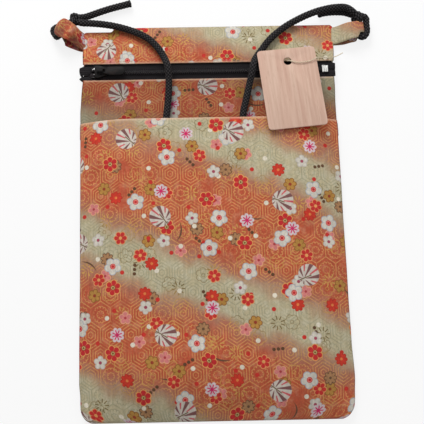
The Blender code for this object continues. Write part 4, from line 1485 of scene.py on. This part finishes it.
def print_on_cloth():
    """Printed cotton: soft slanting bands, a gold lattice, and strewn flowers, balls, dots and twigs."""
    recipe = Recipe("printed_cotton", 0.84, specular=0.25)
    recipe.shader.inputs["Sheen Weight"].default_value = 0.05
    cloth = recipe.map("cloth", 1000.0)
    dust = cloth.noise(0.85, 3.0, 0.7)
    colour, pale = banded_ground(cloth, cloth.noise(0.21, 3.0, 0.6), dust)
    colour = line_motifs(colour, cloth, pale)
    for place, *look in small_flowers:
        colour = blossom(colour, strewn(cloth, *place), *look)
    colour = dots(colour, cloth)
    for place, *look in bright_flowers:
        colour = blossom(colour, strewn(cloth, *place), *look)
    colour = star_rays(colour, strewn(cloth, *bright_flowers[-1][0]), 8, 3.1)
    colour = blossom(colour, strewn(cloth, *large_flower[0]), *large_flower[1:])
    colour = striped_balls(colour, cloth)

    grain = (cloth * (1.0, 0.14, 1.0)).noise(0.62, 3.0, 0.6)
    shaded = colour.scaled(grain.ramp(0.30, 0.72, 0.88, 1.06) * dust.ramp(0.30, 0.70, 0.90, 1.10))
    # The colour goes through a node that stays at 1 here and that the darker copies of this material turn
    # down as painted shade
    given = {0: shaded, "Scale": 1.0}
    printed = recipe.wire("VectorMath", given, wide=True, operation="SCALE", name=print_shade_node)
    painted_light = recipe.wire("Attribute", output="Fac", attribute_name="painted_light")
    # Painted shade: towards dark maroon where painted_light is below 0. Painted highlight: towards pale pink
    # where it is above 0.
    colour = printed.painted(painted_light.ramp(0.0, -1.0, 0.0, 0.62), (62, 40, 44))
    colour = colour.painted(painted_light.ramp(0.0, 1.0, 0.0, 0.50), (226, 190, 162))
    return recipe.finish(colour, woven(cloth, 0.44) * 0.12 + grain, 0.00016)


def woven(cloth, pitch):
    """The height of a plain weave."""
    x, y, _ = cloth.apart()
    return (x * (math.tau / pitch)).do("SINE") + (y * (math.tau / pitch)).do("SINE")


# A copy of the print with its colour scaled by depth: painted shade
def shaded_print_copy(print_cloth, name, depth):
    shaded_copy = print_cloth.copy()
    shaded_copy.name = name
    shaded_copy.node_tree.nodes[print_shade_node].inputs["Scale"].default_value = depth
    return shaded_copy


# The other finishes


def braided_cord():
    """Black braid: crowned strands that pass over and under each other, each of three yarns, with a painted
    highlight on the crowns and painted shade in the grooves between the strands.
    """
    recipe = Recipe("black_braid", 0.85, specular=0.08)
    turn, along, _ = recipe.map("wound").apart()
    rise = along * (cord_strands / (math.tau * cord_radius))
    first = turn * cord_strands + rise
    second = turn * cord_strands - rise
    square = first.do("FLOOR") + second.do("FLOOR")
    odd = (square * 0.5).do("FRACT").do("GREATER_THAN", 0.25)
    one = first.do("FRACT")
    other = second.do("FRACT")
    across = (other - one) * odd + one
    down = (one - other) * odd + other
    crown, crest = (1.0 - abs(way * 2.0 - 1.0).do("POWER", 2.0) for way in (across, down))
    yarn = (across * (math.tau * 3.0)).do("SINE")
    fuzz = recipe.place().noise(900.0, 3.0, 0.6)
    # Painted highlight on each strand's crown and painted shade in the grooves, with the yarns and fuzz in
    # the tone
    light = crown * (crest * 0.6 + 0.4) * (yarn * 0.12 + (fuzz * 0.5 + 0.6))
    colour = light.ramp(0.20, 0.95).tint((7, 7, 8), (72, 69, 70))
    return recipe.finish(colour, yarn * 0.35 + fuzz * 0.6, 0.00010)


def tape_cloth_finish():
    """Black polyester tape: raised ribs along it and a fine herringbone."""
    recipe = Recipe("black_tape", 0.72, specular=0.10)
    mapped = recipe.map("cloth", 1000.0)
    x, y, _ = mapped.apart()
    rib = (y * (math.tau / 0.9)).do("SINE")
    twill = ((x + y.do("PINGPONG", 0.9) * 1.1) * (math.tau / 0.55)).do("SINE")
    tone = twill * 0.16 + (rib * 0.16 + mapped.noise(2.2, 3.0, 0.65))
    colour = tone.ramp(0.15, 0.95).tint((14, 12, 14), (44, 41, 43))
    return recipe.finish(colour, rib * 0.6 + twill * 0.4, 0.00008)


def calico_finish():
    """Unbleached lining cloth."""
    recipe = Recipe("calico", 0.88)
    mapped = recipe.map("cloth", 1000.0)
    slub = (mapped * (1.0, 0.2, 1.0)).noise(0.8, 3.0, 0.6)
    colour = slub.tint((188, 172, 146), (220, 206, 182))
    return recipe.finish(colour, woven(mapped, 0.5) * 0.2 + slub, 0.00010)


def enamel_finish():
    """Brown-black enamel on a cast slider, rubbed a little in patches."""
    recipe = Recipe("black_enamel", specular=0.10)
    rubbed = recipe.place().noise(420.0, 4.0, 0.6)
    colour = rubbed.ramp(0.45, 0.75).tint((10, 8, 8), (36, 29, 27))
    return recipe.finish(colour, recipe.place().noise(1600.0), 0.00003, rubbed.ramp(0.3, 0.7, 0.38, 0.60))


def speckled(name, grain, tones, gloss, depth, share=None, stretch=(1.0, 1.0, 1.0), **shader):
    """A material whose colour, gloss and relief follow one noise."""
    recipe = Recipe(name, **shader)
    specks = (recipe.place() * stretch).noise(*grain)
    tone = specks if share is None else specks.ramp(*share)
    roughness = None if gloss is None else specks.ramp(0.3, 0.7, *gloss)
    return recipe.finish(tone.tint(*tones), specks if depth else None, depth, roughness)


def nylon_finish():
    tones = ((20, 18, 20), (52, 48, 50))
    return speckled("black_nylon", (700.0, 3.0, 0.6), tones, (0.36, 0.56), 0.0, specular=0.30)


def scratched_metal_finish():
    """Bright aluminium, scratched along the stop."""
    grain = (5200.0, 3.0, 0.7)
    tones = ((148, 148, 146), (214, 214, 210))
    along = (1.0, 0.12, 1.0)
    return speckled("bright_metal", grain, tones, (0.28, 0.50), 0.00004, stretch=along, metallic=1.0)


def rubbed_metal_finish():
    """Aluminium whose black coat is rubbed off in spots."""
    grain = (1100.0, 2.0, 0.6)
    tones = ((30, 27, 28), (206, 206, 202))
    return speckled("rubbed_metal", grain, tones, (0.60, 0.30), 0.00006, share=(0.60, 0.68), metallic=1.0)


def thread_finish(name, *tones):
    return speckled(name, (2600.0, 3.0, 0.6), tones, None, 0.00005, share=(0.35, 0.65), roughness=0.75)


def thin_wood_finish():
    """A pinkish wood veneer, its grain running down the tag."""
    recipe = Recipe("thin_wood", 0.62)
    given = {"Vector": recipe.place(), "Rotation": (0.0, 0.0, -math.radians(tag_turn))}
    grain_way = recipe.wire("Mapping", given, wide=True)
    streaks = (grain_way * (1.0, 0.035, 0.3)).noise(420.0, 4.0, 0.62)
    broad = (grain_way * (1.0, 0.05, 0.3)).noise(90.0)
    pores = (grain_way * (1.0, 0.045, 0.5)).noise(2100.0, 2.0, 0.6)
    colour = streaks.ramp(0.30, 0.70).tint((190, 153, 134), (208, 177, 157))
    colour = colour.painted(broad.ramp(0.35, 0.70, 0.0, 0.45), (202, 158, 138))
    colour = colour.painted(pores.ramp(0.60, 0.72, 0.0, 0.40), (158, 116, 96))
    return recipe.finish(colour, pores * -0.6 + streaks, 0.00006)


def main():
    stand_camera()
    set_studio()
    lay_floor()
    tie_cord(braided_cord())
    print_cloth = print_on_cloth()
    sew_back(print_cloth)
    # The front band and the yoke take darker copies of the print as painted shade, deepest on the front band
    sew_front(shaded_print_copy(print_cloth, "shaded_printed_cotton", 0.60))
    sew_yoke(shaded_print_copy(print_cloth, "yoke_shaded_printed_cotton", 0.94))
    sew_pocket(print_cloth)
    sew_linings(calico_finish())
    sew_tab("left_tab_cloth", "tab_left", -1, print_cloth, (-0.030, 0.011))
    sew_tab("right_tab_cloth", "tab_right", 1, print_cloth, (0.030, 0.040))
    tape_weave = tape_cloth_finish()
    nylon = nylon_finish()
    weave_tape("upper_tape", "zip_tape_upper", 1, tape_weave)
    weave_tape("lower_tape", "zip_tape_lower", -1, tape_weave)
    wind_coil("upper_coil", "zip_coil_upper", 1, nylon)
    wind_coil("lower_coil", "zip_coil_lower", -1, nylon)
    sew_coil("upper_coil_sewing", 1, tape_weave)
    sew_coil("lower_coil_sewing", -1, tape_weave)
    enamel = enamel_finish()
    rubbed = rubbed_metal_finish()
    rounded_copy("zip_slider", "slider_body", 0.00018, "slider", "slider_metal", enamel)
    rounded_copy("zip_pull", "slider_pull", 0.00020, "pull", "slider_metal", enamel)
    rounded_copy("zip_top_stop_upper", "upper_top_stop", 0.00016, "pouch", "stop_metal", rubbed)
    rounded_copy("zip_top_stop_lower", "lower_top_stop", 0.00016, "pouch", "stop_metal", rubbed)
    rounded_copy("zip_bottom_stop", "bottom_stop", 0.00010, "pouch", "stop_metal", scratched_metal_finish())
    rounded_copy("hang_tag", "wooden_tag", 0.00015, "tag", "tag_card", thin_wood_finish())
    thread_tag(thread_finish("cream_thread", (186, 170, 140), (232, 220, 194)))
    tan = thread_finish("tan_thread", (170, 116, 84), (222, 176, 136))
    stitch_row("yoke_stitches", stitch_start_x, stitch_end_x, stitch_y, front_face, tan)


main()
